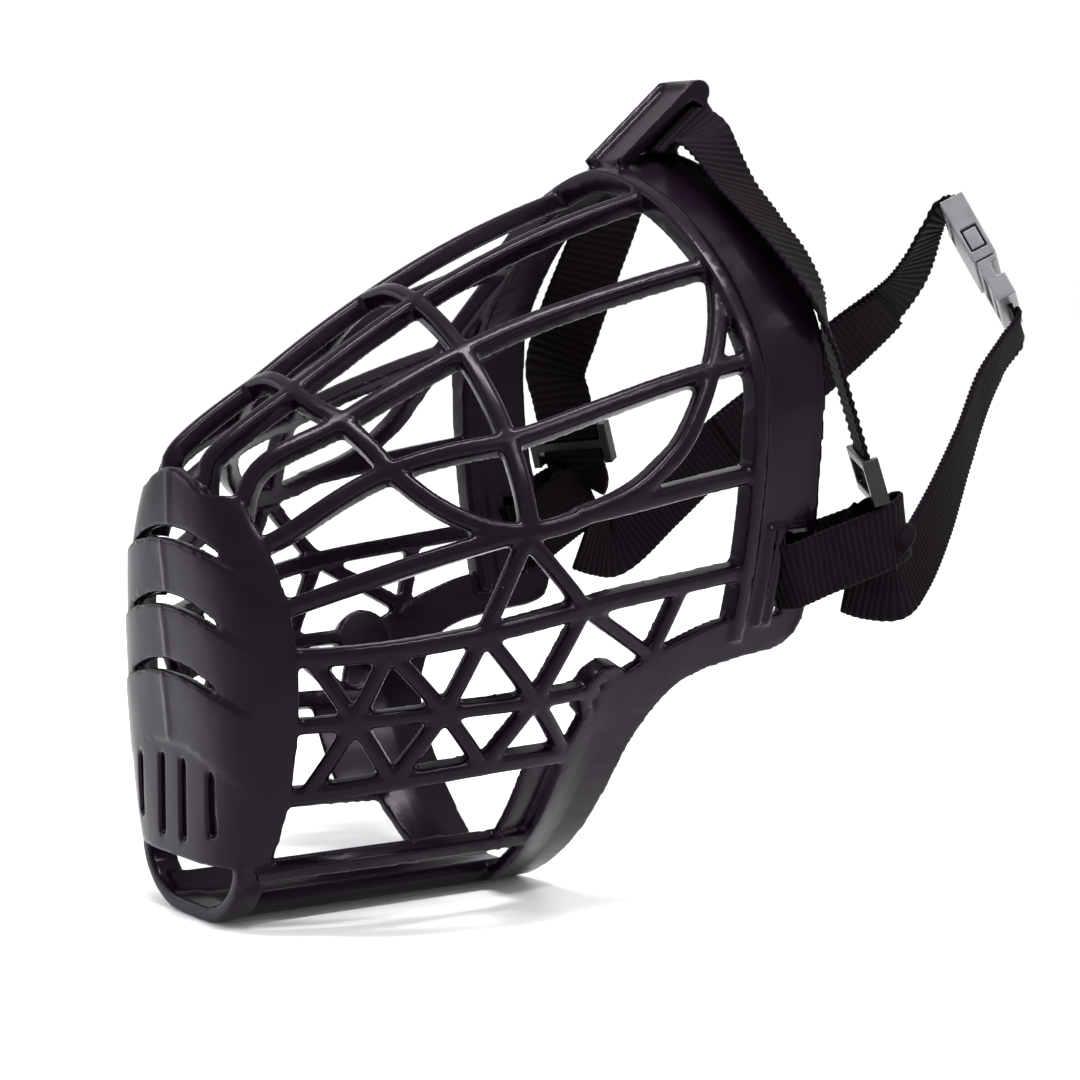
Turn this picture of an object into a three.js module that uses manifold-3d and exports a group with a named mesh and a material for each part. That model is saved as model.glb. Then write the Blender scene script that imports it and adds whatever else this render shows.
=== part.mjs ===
// Basket muzzle for a medium dog: an injection moulded cage and a webbing head harness with a
// side release buckle. Millimetres. The nose points to -Y, the dog's left is +X, +Z is up, and the
// muzzle stands on z = 0 with the front loop just behind y = 0.
import * as THREE from 'three';
import Module from 'manifold-3d';
import { mergeVertices } from 'three/addons/utils/BufferGeometryUtils.js';

const wasm = await Module();
wasm.setup();

// ---------------------------------------------------------------- driving dimensions
const GAP = 0.3;                 // clearance kept between neighbouring pieces
const WALL = 2.6;                // moulded wall of the nose guard, rim and chin band
const BAR_WIDTH = 3.5;           // cage bars, across the outer face
const BAR_DEPTH = 4.2;           // cage bars, from the outer face inwards
const STRUT_WIDTH = 3.0;         // diagonal struts of the side panels
const STRUT_DEPTH = 3.4;
const GUARD_GAP = 0.6;           // the same at the edge of the curved nose guard

const NOSE_Y = -2;               // front face of the cage
const HALF_WIDTH = 55;           // widest half width of the cage
const WIDEST_Y = 70;             // where the cage reaches that width
const RIM_FRONT = 100;           // the open end: front and rear edge of the rim band
const RIM_REAR = 116.5;
const RING1_Y = 19.2;            // front roof hoop
const RING2_Y = 47;              // rear roof hoop

const WEB_WIDTH = 15;            // harness webbing
const WEB_THICK = 1.3;
const SLOT_FRONT = 108.6;        // cheek slot for the webbing, along Y
const SLOT_REAR = 111.8;
const SLOT_LOW = 57;
const SLOT_HIGH = 74;

const PLASTIC = { color: 0x1b171c, roughness: 0.32, metalness: 0 };
const WEBBING = { color: 0x0d0b0e, roughness: 0.9, metalness: 0 };
const HARDWARE = { color: 0x4b4a4e, roughness: 0.3, metalness: 0 };

const V = (x, y, z) => new THREE.Vector3(x, y, z);

// ---------------------------------------------------------------- the cage's outer surface
// Every cross-section at a given y is a superellipse: a half width, a waist height where it is
// widest, a roof height, and its own roundness above and below the waist.
const halfWidth = (y) => {
  const t = Math.max(0, (WIDEST_Y - y) / (WIDEST_Y - NOSE_Y));
  return HALF_WIDTH * Math.max(0, 1 - t ** 2.1) ** (1 / 2.1);
};
const waist = (y) => 53 + 0.47 * y;
const roof = (y) => 106.9 + 0.618 * (y - 19.5) - 0.00228 * (y - 19.5) * (y - 47.5);
const roofRoundness = (y) => 1.62 + 1.5 * Math.max(0, 1 - y / 25) ** 2;
const floorRoundness = (y) => 3 - 1.2 * THREE.MathUtils.clamp((y - 5) / 63, 0, 1);
const FLOOR_Z = -1;

// How far out a point lies: 1 on the surface, less inside.
const level = (x, y, z) => {
  const w = halfWidth(y);
  const c = waist(y);
  const above = z >= c;
  const n = above ? roofRoundness(y) : floorRoundness(y);
  const h = above ? roof(y) - c : c - FLOOR_Z;
  return (Math.abs(x) / w) ** n + (Math.abs(z - c) / h) ** n;
};
const sideX = (y, z) => {
  const c = waist(y);
  const above = z >= c;
  const n = above ? roofRoundness(y) : floorRoundness(y);
  const h = above ? roof(y) - c : c - FLOOR_Z;
  return halfWidth(y) * Math.max(0, 1 - (Math.abs(z - c) / h) ** n) ** (1 / n);
};
const roofZ = (x, y) => {
  const n = roofRoundness(y);
  const c = waist(y);
  return c + (roof(y) - c) * Math.max(0, 1 - (Math.abs(x) / halfWidth(y)) ** n) ** (1 / n);
};
const onSide = (s, y, z) => V(s * sideX(y, z), y, z);
const onRoof = (x, y) => V(x, y, roofZ(x, y));
const outward = (p) => {
  const e = 0.05;
  const y = Math.max(p.y, NOSE_Y + 0.2);
  return V(
    level(p.x + e, y, p.z) - level(p.x - e, y, p.z),
    level(p.x, y + e, p.z) - level(p.x, y - e, p.z),
    level(p.x, y, p.z + e) - level(p.x, y, p.z - e),
  ).normalize();
};

// ---------------------------------------------------------------- solids
const toSolid = (geometry) => {
  const bare = geometry.clone();
  for (const name of Object.keys(bare.attributes)) {
    if (name !== 'position') bare.deleteAttribute(name);
  }
  const merged = mergeVertices(bare, 1e-4);
  return new wasm.Manifold(new wasm.Mesh({
    numProp: 3,
    vertProperties: Float32Array.from(merged.attributes.position.array),
    triVerts: Uint32Array.from(merged.index.array),
  }));
};

// A closed solid through a list of sections, each a loop with an even number of corners. A ring
// joins its last section to its first; anything else gets an end cap at each end, in strips from
// the first half of the loop to the second.
const loft = (sections, ring = false) => {
  const k = sections[0].length;
  const count = sections.length;
  const positions = sections.flat().flatMap((p) => [p.x, p.y, p.z]);
  const index = [];
  const spans = ring ? count : count - 1;
  for (let i = 0; i < spans; i += 1) {
    const a = i * k;
    const b = ((i + 1) % count) * k;
    for (let j = 0; j < k; j += 1) {
      const next = (j + 1) % k;
      index.push(a + j, b + j, b + next, a + j, b + next, a + next);
    }
  }
  if (!ring) {
    const last = (count - 1) * k;
    for (let j = 0; j < k / 2 - 1; j += 1) {
      const opposite = k - 1 - j;
      for (const [a, b, c] of [[j, j + 1, opposite - 1], [j, opposite - 1, opposite]]) {
        index.push(a, b, c, last + a, last + c, last + b);
      }
    }
  }
  let volume = 0;
  const corner = (i) => V(positions[3 * i], positions[3 * i + 1], positions[3 * i + 2]);
  for (let i = 0; i < index.length; i += 3) {
    volume += corner(index[i]).dot(corner(index[i + 1]).cross(corner(index[i + 2])));
  }
  if (volume < 0) index.reverse();
  const geometry = new THREE.BufferGeometry();
  geometry.setAttribute('position', new THREE.Float32BufferAttribute(positions, 3));
  geometry.setIndex(index);
  return toSolid(geometry);
};

const unite = (solids) => solids.reduce((sum, next) => sum.add(next));
const cut = (solid, tools) => tools.reduce((rest, tool) => rest.subtract(tool), solid);

const block = (size, centre, turn = new THREE.Euler()) => {
  const geometry = new THREE.BoxGeometry(size.x, size.y, size.z);
  geometry.applyMatrix4(new THREE.Matrix4().compose(
    centre,
    new THREE.Quaternion().setFromEuler(turn),
    V(1, 1, 1),
  ));
  return toSolid(geometry);
};

const smooth = (points, steps) => (
  new THREE.CatmullRomCurve3(points, false, 'centripetal').getPoints(steps)
);
const tangents = (path) => path.map((p, i) => (
  V(0, 0, 0).subVectors(path[Math.min(i + 1, path.length - 1)], path[Math.max(i - 1, 0)]).normalize()
));

// A cage bar of rectangular section: its outer face lies on the path, on the cage's surface, or
// a little below it where the bar is sunk.
const bar = (path, { width = BAR_WIDTH, depth = BAR_DEPTH, grow = 0, sunk = 0 } = {}) => {
  const along = tangents(path);
  return loft(path.map((p, i) => {
    const side = V(0, 0, 0).crossVectors(along[i], outward(p)).normalize();
    const out = V(0, 0, 0).crossVectors(side, along[i]).normalize();
    const half = width / 2 + grow;
    const at = (a, b) => p.clone().addScaledVector(side, a).addScaledVector(out, b);
    const top = grow - sunk;
    return [at(-half, top), at(half, top), at(half, -depth - grow), at(-half, -depth - grow)];
  }));
};

// A wall between two edge lines on the cage's surface, with its thickness inwards.
const wall = (edgeA, edgeB, { thick = WALL, grow = 0, lift = 0 } = {}) => (
  loft(edgeA.map((a, i) => {
    const b = edgeB[i];
    const out = outward(a.clone().add(b).multiplyScalar(0.5));
    const across = b.clone().sub(a).normalize();
    const at = (p, wide, high) => (
      p.clone().addScaledVector(across, wide).addScaledVector(out, high + lift)
    );
    return [
      at(a, -grow, grow), at(b, grow, grow), at(b, grow, -thick - grow), at(a, -grow, -thick - grow),
    ];
  }))
);

// A flat strap along a path. Each entry is [centre, width direction]. `from` and `to` pick a
// stretch of the path, and `lift` raises the strap off it.
const ribbon = (entries, steps, options = {}) => {
  const { ring = false, thick = WEB_THICK, width = WEB_WIDTH, from = 0, to = 1, lift = 0 } = options;
  const centres = entries.map((entry) => entry[0]);
  const widths = entries.map((entry) => entry[1].clone().normalize());
  const centreLine = new THREE.CatmullRomCurve3(centres, ring, 'centripetal');
  const widthLine = new THREE.CatmullRomCurve3(widths, ring, 'centripetal');
  const stations = ring ? steps : steps + 1;
  const sections = [];
  for (let i = 0; i < stations; i += 1) {
    const t = from + ((to - from) * i) / steps;
    const along = centreLine.getTangent(t);
    const raw = widthLine.getPoint(t);
    const side = raw.addScaledVector(along, -raw.dot(along)).normalize();
    const face = V(0, 0, 0).crossVectors(along, side);
    const p = centreLine.getPoint(t).addScaledVector(face, lift);
    const at = (a, b) => (
      p.clone().addScaledVector(side, (a * width) / 2).addScaledVector(face, (b * thick) / 2)
    );
    sections.push([at(-1, -1), at(1, -1), at(1, 1), at(-1, 1)]);
  }
  return loft(sections, ring);
};

const root = new THREE.Group();
const addMesh = (name, solid, finish, parent = root) => {
  const mesh = solid.getMesh();
  const geometry = new THREE.BufferGeometry();
  geometry.setAttribute('position', new THREE.BufferAttribute(Float32Array.from(mesh.vertProperties), 3));
  geometry.setIndex(new THREE.BufferAttribute(Uint32Array.from(mesh.triVerts), 1));
  geometry.computeVertexNormals();
  const part = new THREE.Mesh(geometry, new THREE.MeshStandardMaterial(finish));
  part.name = name;
  parent.add(part);
  return part;
};

// ---------------------------------------------------------------- nose guard and front loop
// A solid plate that follows the cage's nose and wraps round to the sides. Its rear edge bulges
// backwards at mid height, and its top edge dips towards the sides.
const GUARD_MID = 47;
const GUARD_LOW = 12.6;
const GUARD_HIGH = 89.2;
const guardRear = (z) => {
  const above = z > GUARD_MID;
  return above ? 8.7 - 3.5 * ((z - GUARD_MID) / 29.5) ** 2 : 8.7 - 2.7 * ((GUARD_MID - z) / 36.5) ** 2;
};
const guardTop = (x) => GUARD_HIGH - 4.4 * (x / 17) ** 2;
// The plate's front is flatter than the cage's own outline: from each rear edge it curves round a
// soft corner and runs nearly straight across.
const PLATE_FRONT = -3;
const PLATE_CURVE = 3.2;         // exponent of that curve
const PLATE_CENTRE = 5.3;        // the curve's centre, behind the plate's rear edge
const plateY = (x, z, grow) => {
  const rear = guardRear(z) + grow;
  const centre = rear + PLATE_CENTRE;
  const reach = centre - PLATE_FRONT;
  const flat = (share) => Math.max(0, 1 - share ** PLATE_CURVE) ** (1 / PLATE_CURVE);
  const half = sideX(rear, z) / flat(PLATE_CENTRE / reach);
  return centre - reach * flat(Math.abs(x) / half);
};
const plateOutward = (x, z, grow) => {
  const e = 0.4;
  return V(
    plateY(x + e, z, grow) - plateY(x - e, z, grow),
    -2 * e,
    plateY(x, z + e, grow) - plateY(x, z - e, grow),
  ).normalize();
};
const noseGuard = (grow = 0) => {
  const rows = 10;
  const columns = 16;
  const sections = [];
  for (let i = 0; i <= columns; i += 1) {
    const u = (2 * i) / columns - 1;
    const outer = [];
    const inner = [];
    for (let j = 0; j <= rows; j += 1) {
      const t = j / rows;
      const reach = sideX(guardRear(50), 50);
      const top = guardTop(Math.min(Math.abs(u) * reach, 17)) + grow;
      const z = GUARD_LOW - grow + (top - GUARD_LOW + grow) * t;
      const edge = sideX(guardRear(z) + grow, z);
      const x = Math.sin((u * Math.PI) / 2.3) / Math.sin(Math.PI / 2.3) * edge;
      const p = V(x, plateY(x, z, grow), z);
      const out = plateOutward(x, z, grow);
      outer.push(p.clone().addScaledVector(out, grow));
      inner.push(p.clone().addScaledVector(out, -WALL - grow));
    }
    sections.push([...outer, ...inner.reverse()]);
  }
  return loft(sections);
};

// Arched louvre slots: they are highest in the middle and droop towards both sides.
const LOUVRE_TOPS = [76.5, 63.5, 50.5];
const louvre = (top) => {
  const half = 24;
  const sections = [];
  for (let i = -6; i <= 6; i += 1) {
    const x = (half * i) / 6;
    const z = top - 6.8 * (x / half) ** 2;
    const tall = 1.3 - 0.9 * (x / half) ** 2;
    sections.push([V(x, -8, z - tall), V(x, -8, z + tall), V(x, 14, z + tall), V(x, 14, z - tall)]);
  }
  return loft(sections);
};
const VENT_SLOTS = [[4.3, 16.4, 32.5], [14.4, 18.4, 31.2]];
const VENT_WIDTH = 2.3;
const vents = [-1, 1].flatMap((s) => VENT_SLOTS.map(([x, low, high]) => (
  block(V(VENT_WIDTH, 30, high - low), V(s * x, 0, (low + high) / 2))
)));
const guardTools = [...LOUVRE_TOPS.map(louvre), ...vents];
addMesh('nose_guard', cut(noseGuard(), guardTools), PLASTIC);

// U-shaped loop below the plate: the muzzle's front foot.
const LOOP_FRONT = 0.6;
const LOOP_REAR = 7.4;
const LOOP_LINE = [[20.6, 12], [18.8, 7.4], [15.4, 3.6], [11, 1], [7, 0], [0, 0]];
const frontLoop = (grow = 0) => {
  const half = LOOP_LINE.map(([x, z], i) => {
    const before = LOOP_LINE[Math.max(i - 1, 0)];
    const after = LOOP_LINE[Math.min(i + 1, LOOP_LINE.length - 1)];
    const out = V(before[1] - after[1], 0, -(before[0] - after[0])).normalize();
    return { x, z, out };
  });
  const line = [...half, ...half.slice(0, -1).reverse().map(({ x, z, out }) => (
    { x: -x, z, out: V(-out.x, 0, out.z) }
  ))];
  return loft(line.map(({ x, z, out }) => {
    const at = (y, b) => V(x, y, z).addScaledVector(out, b);
    return [
      at(LOOP_FRONT - grow, grow), at(LOOP_REAR + grow, grow),
      at(LOOP_REAR + grow, -3.2 - grow), at(LOOP_FRONT - grow, -3.2 - grow),
    ];
  }));
};
addMesh('front_loop', cut(frontLoop(), [noseGuard(GUARD_GAP)]), PLASTIC);

// ---------------------------------------------------------------- rim band
// The open end: a smooth band over the muzzle, from cheek to cheek, with a raised front lip.
const RIM_CHEEK_Z = 54;
const rimLine = (y) => {
  const left = [];
  for (let i = 0; i <= 4; i += 1) left.push(onSide(1, y, RIM_CHEEK_Z + ((waist(y) - RIM_CHEEK_Z) * i) / 5));
  for (let i = 0; i <= 9; i += 1) {
    const turn = ((Math.PI / 2) * i) / 10;
    const n = roofRoundness(y);
    const x = halfWidth(y) * Math.cos(turn) ** (2 / n);
    left.push(onRoof(x, y));
  }
  const right = left.map((p) => V(-p.x, p.y, p.z)).reverse();
  return [...left, V(0, y, roof(y)), ...right];
};
const rimBand = (grow = 0) => {
  const band = wall(rimLine(RIM_FRONT), rimLine(RIM_REAR), { grow });
  const lip = wall(rimLine(RIM_FRONT - 1.5), rimLine(RIM_FRONT + 1.5), { grow, thick: 5.4, lift: 1 });
  return band.add(lip);
};
const behindRimFront = block(V(200, 60, 300), V(0, RIM_FRONT + 30, 80));
const cheekSlot = (s) => block(
  V(30, SLOT_REAR - SLOT_FRONT, SLOT_HIGH - SLOT_LOW),
  V(s * 50, (SLOT_FRONT + SLOT_REAR) / 2, (SLOT_LOW + SLOT_HIGH) / 2),
);
// A flat raised frame in front of each slot takes the wear of the webbing.
const SLOT_FRAME_X = 53.2;
const slotFrame = (s) => block(V(6, 3.2, 19), V(s * (SLOT_FRAME_X - 3), 106.6, 65.5));
const rim = cut(unite([rimBand(), slotFrame(1), slotFrame(-1)]), [cheekSlot(1), cheekSlot(-1)]);
addMesh('rim_band', rim, PLASTIC);

// ---------------------------------------------------------------- chin band
// It leaves both cheeks, sweeps forwards and down in an S, and passes under the chin.
const CHIN_INNER = [
  [101.5, 57.6], [94, 56.2], [87.6, 54.3], [81, 52], [75.6, 49.7], [69, 46.4], [64, 40.5],
  [61.4, 33.7], [60.6, 24.4], [61, 14], [62, 5.5],
];
const CHIN_OUTER = [
  [116.5, 52.6], [111, 50.2], [105.7, 48.9], [99, 47.8], [92.7, 46.5], [87, 44], [82.6, 39.5],
  [79, 32.4], [77.6, 22.3], [77, 12.7], [76, 4.6],
];
const CHIN_FLAT = 8;             // half width of the flat under the chin band
const chinBand = (grow = 0) => {
  const left = CHIN_INNER.map((inner, i) => [onSide(1, ...inner), onSide(1, ...CHIN_OUTER[i])]);
  left.push([V(CHIN_FLAT, 62.4, 0), V(CHIN_FLAT, 75.6, 0)]);
  const right = left.map(([a, b]) => [V(-a.x, a.y, a.z), V(-b.x, b.y, b.z)]).reverse();
  const all = [...left, ...right];
  return wall(all.map((pair) => pair[0]), all.map((pair) => pair[1]), { grow });
};

// A round boss on each side where the middle chord meets the band, with a hook-shaped groove.
const BOSS = { y: 68, z: 44.3, radius: 6.2 };
const bossFrame = (s) => {
  const centre = onSide(s, BOSS.y, BOSS.z);
  const turn = new THREE.Quaternion().setFromUnitVectors(V(0, 0, 1), outward(centre));
  return new THREE.Matrix4().compose(centre, turn, V(1, 1, 1));
};
const boss = (s) => {
  const geometry = new THREE.CylinderGeometry(BOSS.radius, BOSS.radius, 4.6, 20);
  geometry.rotateX(Math.PI / 2);
  geometry.translate(0, 0, -1.1);
  geometry.applyMatrix4(bossFrame(s));
  return toSolid(geometry);
};
const HOOK = { x: 0.9, y: -0.6, radius: 3.5, wide: 1, from: 100, to: 235, deep: 1.3 };
const hookGroove = (s) => {
  const sections = [];
  for (let i = 0; i <= 8; i += 1) {
    const turn = THREE.MathUtils.degToRad(HOOK.from + ((HOOK.to - HOOK.from) * i) / 8);
    const at = (r, z) => V(s * (HOOK.x + r * Math.cos(turn)), HOOK.y + r * Math.sin(turn), z);
    const inner = HOOK.radius - HOOK.wide / 2;
    const outer = HOOK.radius + HOOK.wide / 2;
    sections.push([at(inner, -HOOK.deep), at(outer, -HOOK.deep), at(outer, 3), at(inner, 3)]);
  }
  const frame = bossFrame(s);
  return loft(sections.map((section) => section.map((p) => p.applyMatrix4(frame))));
};

// A thin recessed web fills the corner in front of the band, above the lower rail.
const cornerWeb = (s) => {
  const front = [[53, 29.4], [52.8, 23], [52.2, 17.8]];
  const rear = [[64, 29.4], [64, 23], [64, 17.8]];
  const lines = [front, rear].map((line) => line.map(([y, z]) => onSide(s, y, z)));
  return wall(lines[0], lines[1], { thick: 1.6, lift: -0.9 });
};
const band = unite([chinBand(), boss(1), boss(-1), cornerWeb(1), cornerWeb(-1)]);
addMesh('chin_band', cut(band, [rimBand(GAP), hookGroove(1), hookGroove(-1)]), PLASTIC);

// ---------------------------------------------------------------- roof grille
// Two bars on each side of the crest, crossed by two hoops.
const CREST_BAR = [[8.4, -1], [8.8, 8], [9.2, RING1_Y], [9.8, 33], [10.4, RING2_Y], [12.4, 72], [15.6, 101]];
const SHOULDER_BAR = [[17.4, 1.5], [19.6, 12], [22, 22.9], [25.2, 35], [28, 47.3], [33, 71.4], [38, 101]];
const roofLine = (s, points, steps = 8) => smooth(points.map(([x, y]) => onRoof(s * x, y)), steps);

const BROW_BAR = [
  [4.2, 75], [15, 83.4], [26.5, 89.9], [36, 93.2], [47.3, 95.6], [65.4, 101.2], [84, 106.4], [101.5, 110.2],
];
const sideLine = (s, points, steps = 10) => smooth(points.map(([y, z]) => onSide(s, y, z)), steps);
const browBar = (s, grow = 0) => bar(sideLine(s, BROW_BAR), { grow });

const HOOP1_REACH = [[5, 19.2], [10, 19.4], [16, 20.6], [22, 22.9], [28.4, 24.8]];
const hoop1Line = (s) => [...HOOP1_REACH.map(([x, y]) => onRoof(s * x, y)), onSide(s, 26.5, 89.9)];
const hoop1 = (() => {
  const left = hoop1Line(1);
  const right = hoop1Line(-1).reverse();
  return bar(smooth([...right, onRoof(0, 19.1), ...left], 22), { sunk: 0.15 });
})();
const HOOP2_HEIGHTS = [96.4, 101, 106];
const hoop2 = (() => {
  const left = HOOP2_HEIGHTS.map((z) => onSide(1, RING2_Y, z));
  for (const x of [30, 22, 14, 7]) left.push(onRoof(x, RING2_Y));
  const right = left.map((p) => V(-p.x, p.y, p.z)).reverse();
  return bar(smooth([...left, onRoof(0, RING2_Y), ...right], 22), { sunk: 0.15 });
})();

const roofBars = [-1, 1].flatMap((s) => [
  bar(roofLine(s, CREST_BAR)),
  bar(roofLine(s, SHOULDER_BAR)),
]);
const shoulderKeepout = (s) => bar(roofLine(s, SHOULDER_BAR), { grow: GAP });
addMesh('roof_grille', cut(unite([...roofBars, hoop1, hoop2]), [
  noseGuard(GUARD_GAP), rimBand(GAP), behindRimFront, browBar(1, GAP), browBar(-1, GAP),
]), PLASTIC);

// ---------------------------------------------------------------- side grilles
const WAIST_BAR = [[5, 62.6], [14, 67.4], [23.8, 71.6], [33, 74.8], [41, 77], [47, 78.3]];
const WAIST_BAR_REAR = [[57, 80.4], [72.7, 82.6], [86, 84.6], [101.5, 86.6]];
const OVAL = [
  [26.5, 89.9], [30.8, 84.4], [35, 81.2], [40, 79], [46.5, 78.2], [53.5, 79], [61, 81.2],
  [68, 83.4], [73.5, 86.2], [81, 92.6], [86.5, 100.4], [92.3, 110.2], [96.2, 117.6], [100.5, 127.2],
];
const UPPER_CHORD = [[5, 53.6], [21.3, 55.7], [38.2, 58.5], [59.8, 62.1], [82.6, 64.6], [101.5, 66.6]];
const APEX = [46.2, 76.8];
const FEET = [[38.2, 58.5], [59.8, 62.1]];
const upperChord = (s, grow = 0) => bar(sideLine(s, UPPER_CHORD), { grow });
const strut = (s, from, to, extra = {}) => bar(
  smooth([onSide(s, ...from), onSide(s, (from[0] + to[0]) / 2, (from[1] + to[1]) / 2), onSide(s, ...to)], 4),
  { width: STRUT_WIDTH, depth: STRUT_DEPTH, sunk: 0.3, ...extra },
);

const cheekGrille = (s) => cut(unite([
  browBar(s),
  bar(sideLine(s, WAIST_BAR, 8)),
  bar(sideLine(s, WAIST_BAR_REAR, 6), { sunk: 0.05 }),
  bar(sideLine(s, OVAL, 22), { sunk: 0.15 }),
  bar(smooth([78.2, 84, 90, 95.6].map((z) => onSide(s, RING2_Y, z)), 5), { sunk: 0.3 }),
  ...FEET.map((foot) => strut(s, APEX, foot)),
]), [noseGuard(GUARD_GAP), rimBand(GAP), behindRimFront, upperChord(s, GAP), shoulderKeepout(s)]);

// ---------------------------------------------------------------- truss panels
const MIDDLE_CHORD = [[5, 40.4], [16.2, 42.1], [31.4, 43.6], [50.5, 44.4], [66, 45]];
const LOWER_CHORD = [[5, 26.4], [9.5, 27.4], [22.9, 30], [41, 31.8], [52, 32], [66, 31.4]];
const UPPER_NODES = [[9.6, 54.2], [21.3, 55.7], [38.2, 58.5], [59.8, 62.1]];
const MIDDLE_NODES = [[16.2, 42.1], [31.4, 43.6], [50.5, 44.4]];
const LOWER_NODES = [[9.6, 27.5], [23.2, 30], [41, 31.8], [62.5, 31.6]];
const LOOSE_STRUTS = [[[59.8, 62.1], [79, 50.6]], [[84.5, 64.8], [79.4, 51.4]]];
const trussPanel = (s) => cut(unite([
  upperChord(s),
  bar(sideLine(s, MIDDLE_CHORD, 9), { width: STRUT_WIDTH, sunk: 0.15 }),
  bar(sideLine(s, LOWER_CHORD, 9)),
  ...MIDDLE_NODES.flatMap((node, i) => [
    strut(s, UPPER_NODES[i], node),
    strut(s, node, UPPER_NODES[i + 1]),
    strut(s, node, LOWER_NODES[i]),
    strut(s, node, LOWER_NODES[i + 1]),
  ]),
  ...LOOSE_STRUTS.map(([from, to]) => strut(s, from, to)),
]), [noseGuard(GUARD_GAP), rimBand(GAP), behindRimFront, chinBand(GAP), bossKeepout(s), cornerKeepout(s)]);
const bossKeepout = (s) => {
  const geometry = new THREE.CylinderGeometry(BOSS.radius + GAP, BOSS.radius + GAP, 6, 20);
  geometry.rotateX(Math.PI / 2);
  geometry.translate(0, 0, -1.1);
  geometry.applyMatrix4(bossFrame(s));
  return toSolid(geometry);
};
const cornerKeepout = (s) => {
  const front = [[52.6, 29.8], [52.4, 23], [51.8, 17.4]];
  const rear = [[66, 29.8], [66, 23], [66, 17.4]];
  const lines = [front, rear].map((line) => line.map(([y, z]) => onSide(s, y, z)));
  return wall(lines[0], lines[1], { thick: 2.2, lift: -0.6 });
};

// ---------------------------------------------------------------- lower rails and bottom strip
const RAIL_LINE = [
  [21.6, 5.5, 12], [25.6, 13, 13], [29.2, 24, 13.9], [30.6, 38, 14.3], [30.2, 52, 14.2], [28.6, 66, 13.9],
];
const lowerRail = (s) => {
  const path = smooth(RAIL_LINE.map(([x, y, z]) => V(s * x, y, z)), 10);
  const out = V(s * 0.78, 0, -0.62);
  const along = tangents(path);
  const solid = loft(path.map((p, i) => {
    const side = V(0, 0, 0).crossVectors(along[i], out).normalize();
    const at = (a, b) => p.clone().addScaledVector(side, a).addScaledVector(out, b);
    return [at(-1.9, 1.6), at(1.9, 1.6), at(1.9, -1.9), at(-1.9, -1.9)];
  }));
  return cut(solid, [noseGuard(GUARD_GAP), frontLoop(GAP), chinBand(GAP), cornerKeepout(s)]);
};

// The trough-shaped strip under the chin: flat in the middle, turned up at both edges.
const STRIP_FLAT = 6;
const STRIP_HALF = 14;
const STRIP_THICK = 2.6;
const stripRise = (x) => 4.6 * (Math.max(0, x - STRIP_FLAT) / (STRIP_HALF - STRIP_FLAT)) ** 1.4;
const stripSection = (y) => {
  const xs = [-14, -11.5, -9, -6, 6, 9, 11.5, 14];
  const under = xs.map((x) => V(x, y, stripRise(Math.abs(x))));
  const over = xs.map((x) => V(x * 0.94, y, stripRise(Math.abs(x)) + STRIP_THICK));
  return [...under, ...over.reverse()];
};
const strip = cut(loft([stripSection(3), stripSection(70)]), [frontLoop(GAP), chinBand(GAP)]);

// ---------------------------------------------------------------- forehead bridge
// A channel-shaped tab that leans back over the top of the rim and curls over at its end; the
// webbing passes underneath it from side to side.
const TAB_HALF = 6.2;
const TAB_LEAN = Math.atan2(16.3, 19);
const TAB_FOOT = V(0, 103, 149.4);
const TAB_LENGTH = 25;
const tabPoint = (x, along, up) => V(
  x,
  TAB_FOOT.y + along * Math.cos(TAB_LEAN) - up * Math.sin(TAB_LEAN),
  TAB_FOOT.z + along * Math.sin(TAB_LEAN) + up * Math.cos(TAB_LEAN),
);
const tabBlock = (size, x, along, up) => (
  block(size, tabPoint(x, along, up), new THREE.Euler(TAB_LEAN, 0, 0))
);
const foreheadBridge = () => {
  const curl = new THREE.CylinderGeometry(2.6, 2.6, 2 * TAB_HALF, 16);
  curl.rotateZ(Math.PI / 2);
  const curlAt = tabPoint(0, TAB_LENGTH - 0.6, -1.2);
  curl.translate(curlAt.x, curlAt.y, curlAt.z);
  return unite([
    tabBlock(V(2 * TAB_HALF, TAB_LENGTH, 2.4), 0, TAB_LENGTH / 2 - 1, 0),
    ...[-1, 1].map((s) => tabBlock(V(1.4, TAB_LENGTH, 3.4), s * (TAB_HALF - 0.7), TAB_LENGTH / 2 - 1, 0.5)),
    toSolid(curl),
    tabBlock(V(2 * TAB_HALF, 2.2, 6.4), 0, TAB_LENGTH - 1.6, -3.4),
    tabBlock(V(2 * TAB_HALF, 14.6, 2), 0, TAB_LENGTH - 7.8, -5.6),
  ]);
};
addMesh('forehead_bridge', cut(foreheadBridge(), [rimBand(GAP)]), PLASTIC);

for (const [s, side] of [[1, 'left'], [-1, 'right']]) {
  addMesh(`cheek_grille_${side}`, cheekGrille(s), PLASTIC);
  addMesh(`truss_panel_${side}`, trussPanel(s), PLASTIC);
  addMesh(`lower_rail_${side}`, lowerRail(s), PLASTIC);
}
addMesh('bottom_strip', strip, PLASTIC);

// ---------------------------------------------------------------- harness
// The webbing comes out from under the bridge on both sides, drops to a tri-glide, passes down
// through the cheek loop and turns back and up to the side release buckle behind the neck.
const GLIDE_AXIS = V(0.069, 0.309, -0.949).normalize();
const GLIDE_POINT = V(53, 131.5, 80.5);
const GLIDE_WIDTH = V(-0.797, 0.577, -0.169)
  .addScaledVector(GLIDE_AXIS, -V(-0.797, 0.577, -0.169).dot(GLIDE_AXIS))
  .normalize();
const onGlide = (up) => GLIDE_POINT.clone().addScaledVector(GLIDE_AXIS, -up);
const mirrored = (v, s) => V(s * v.x, v.y, v.z);

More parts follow.
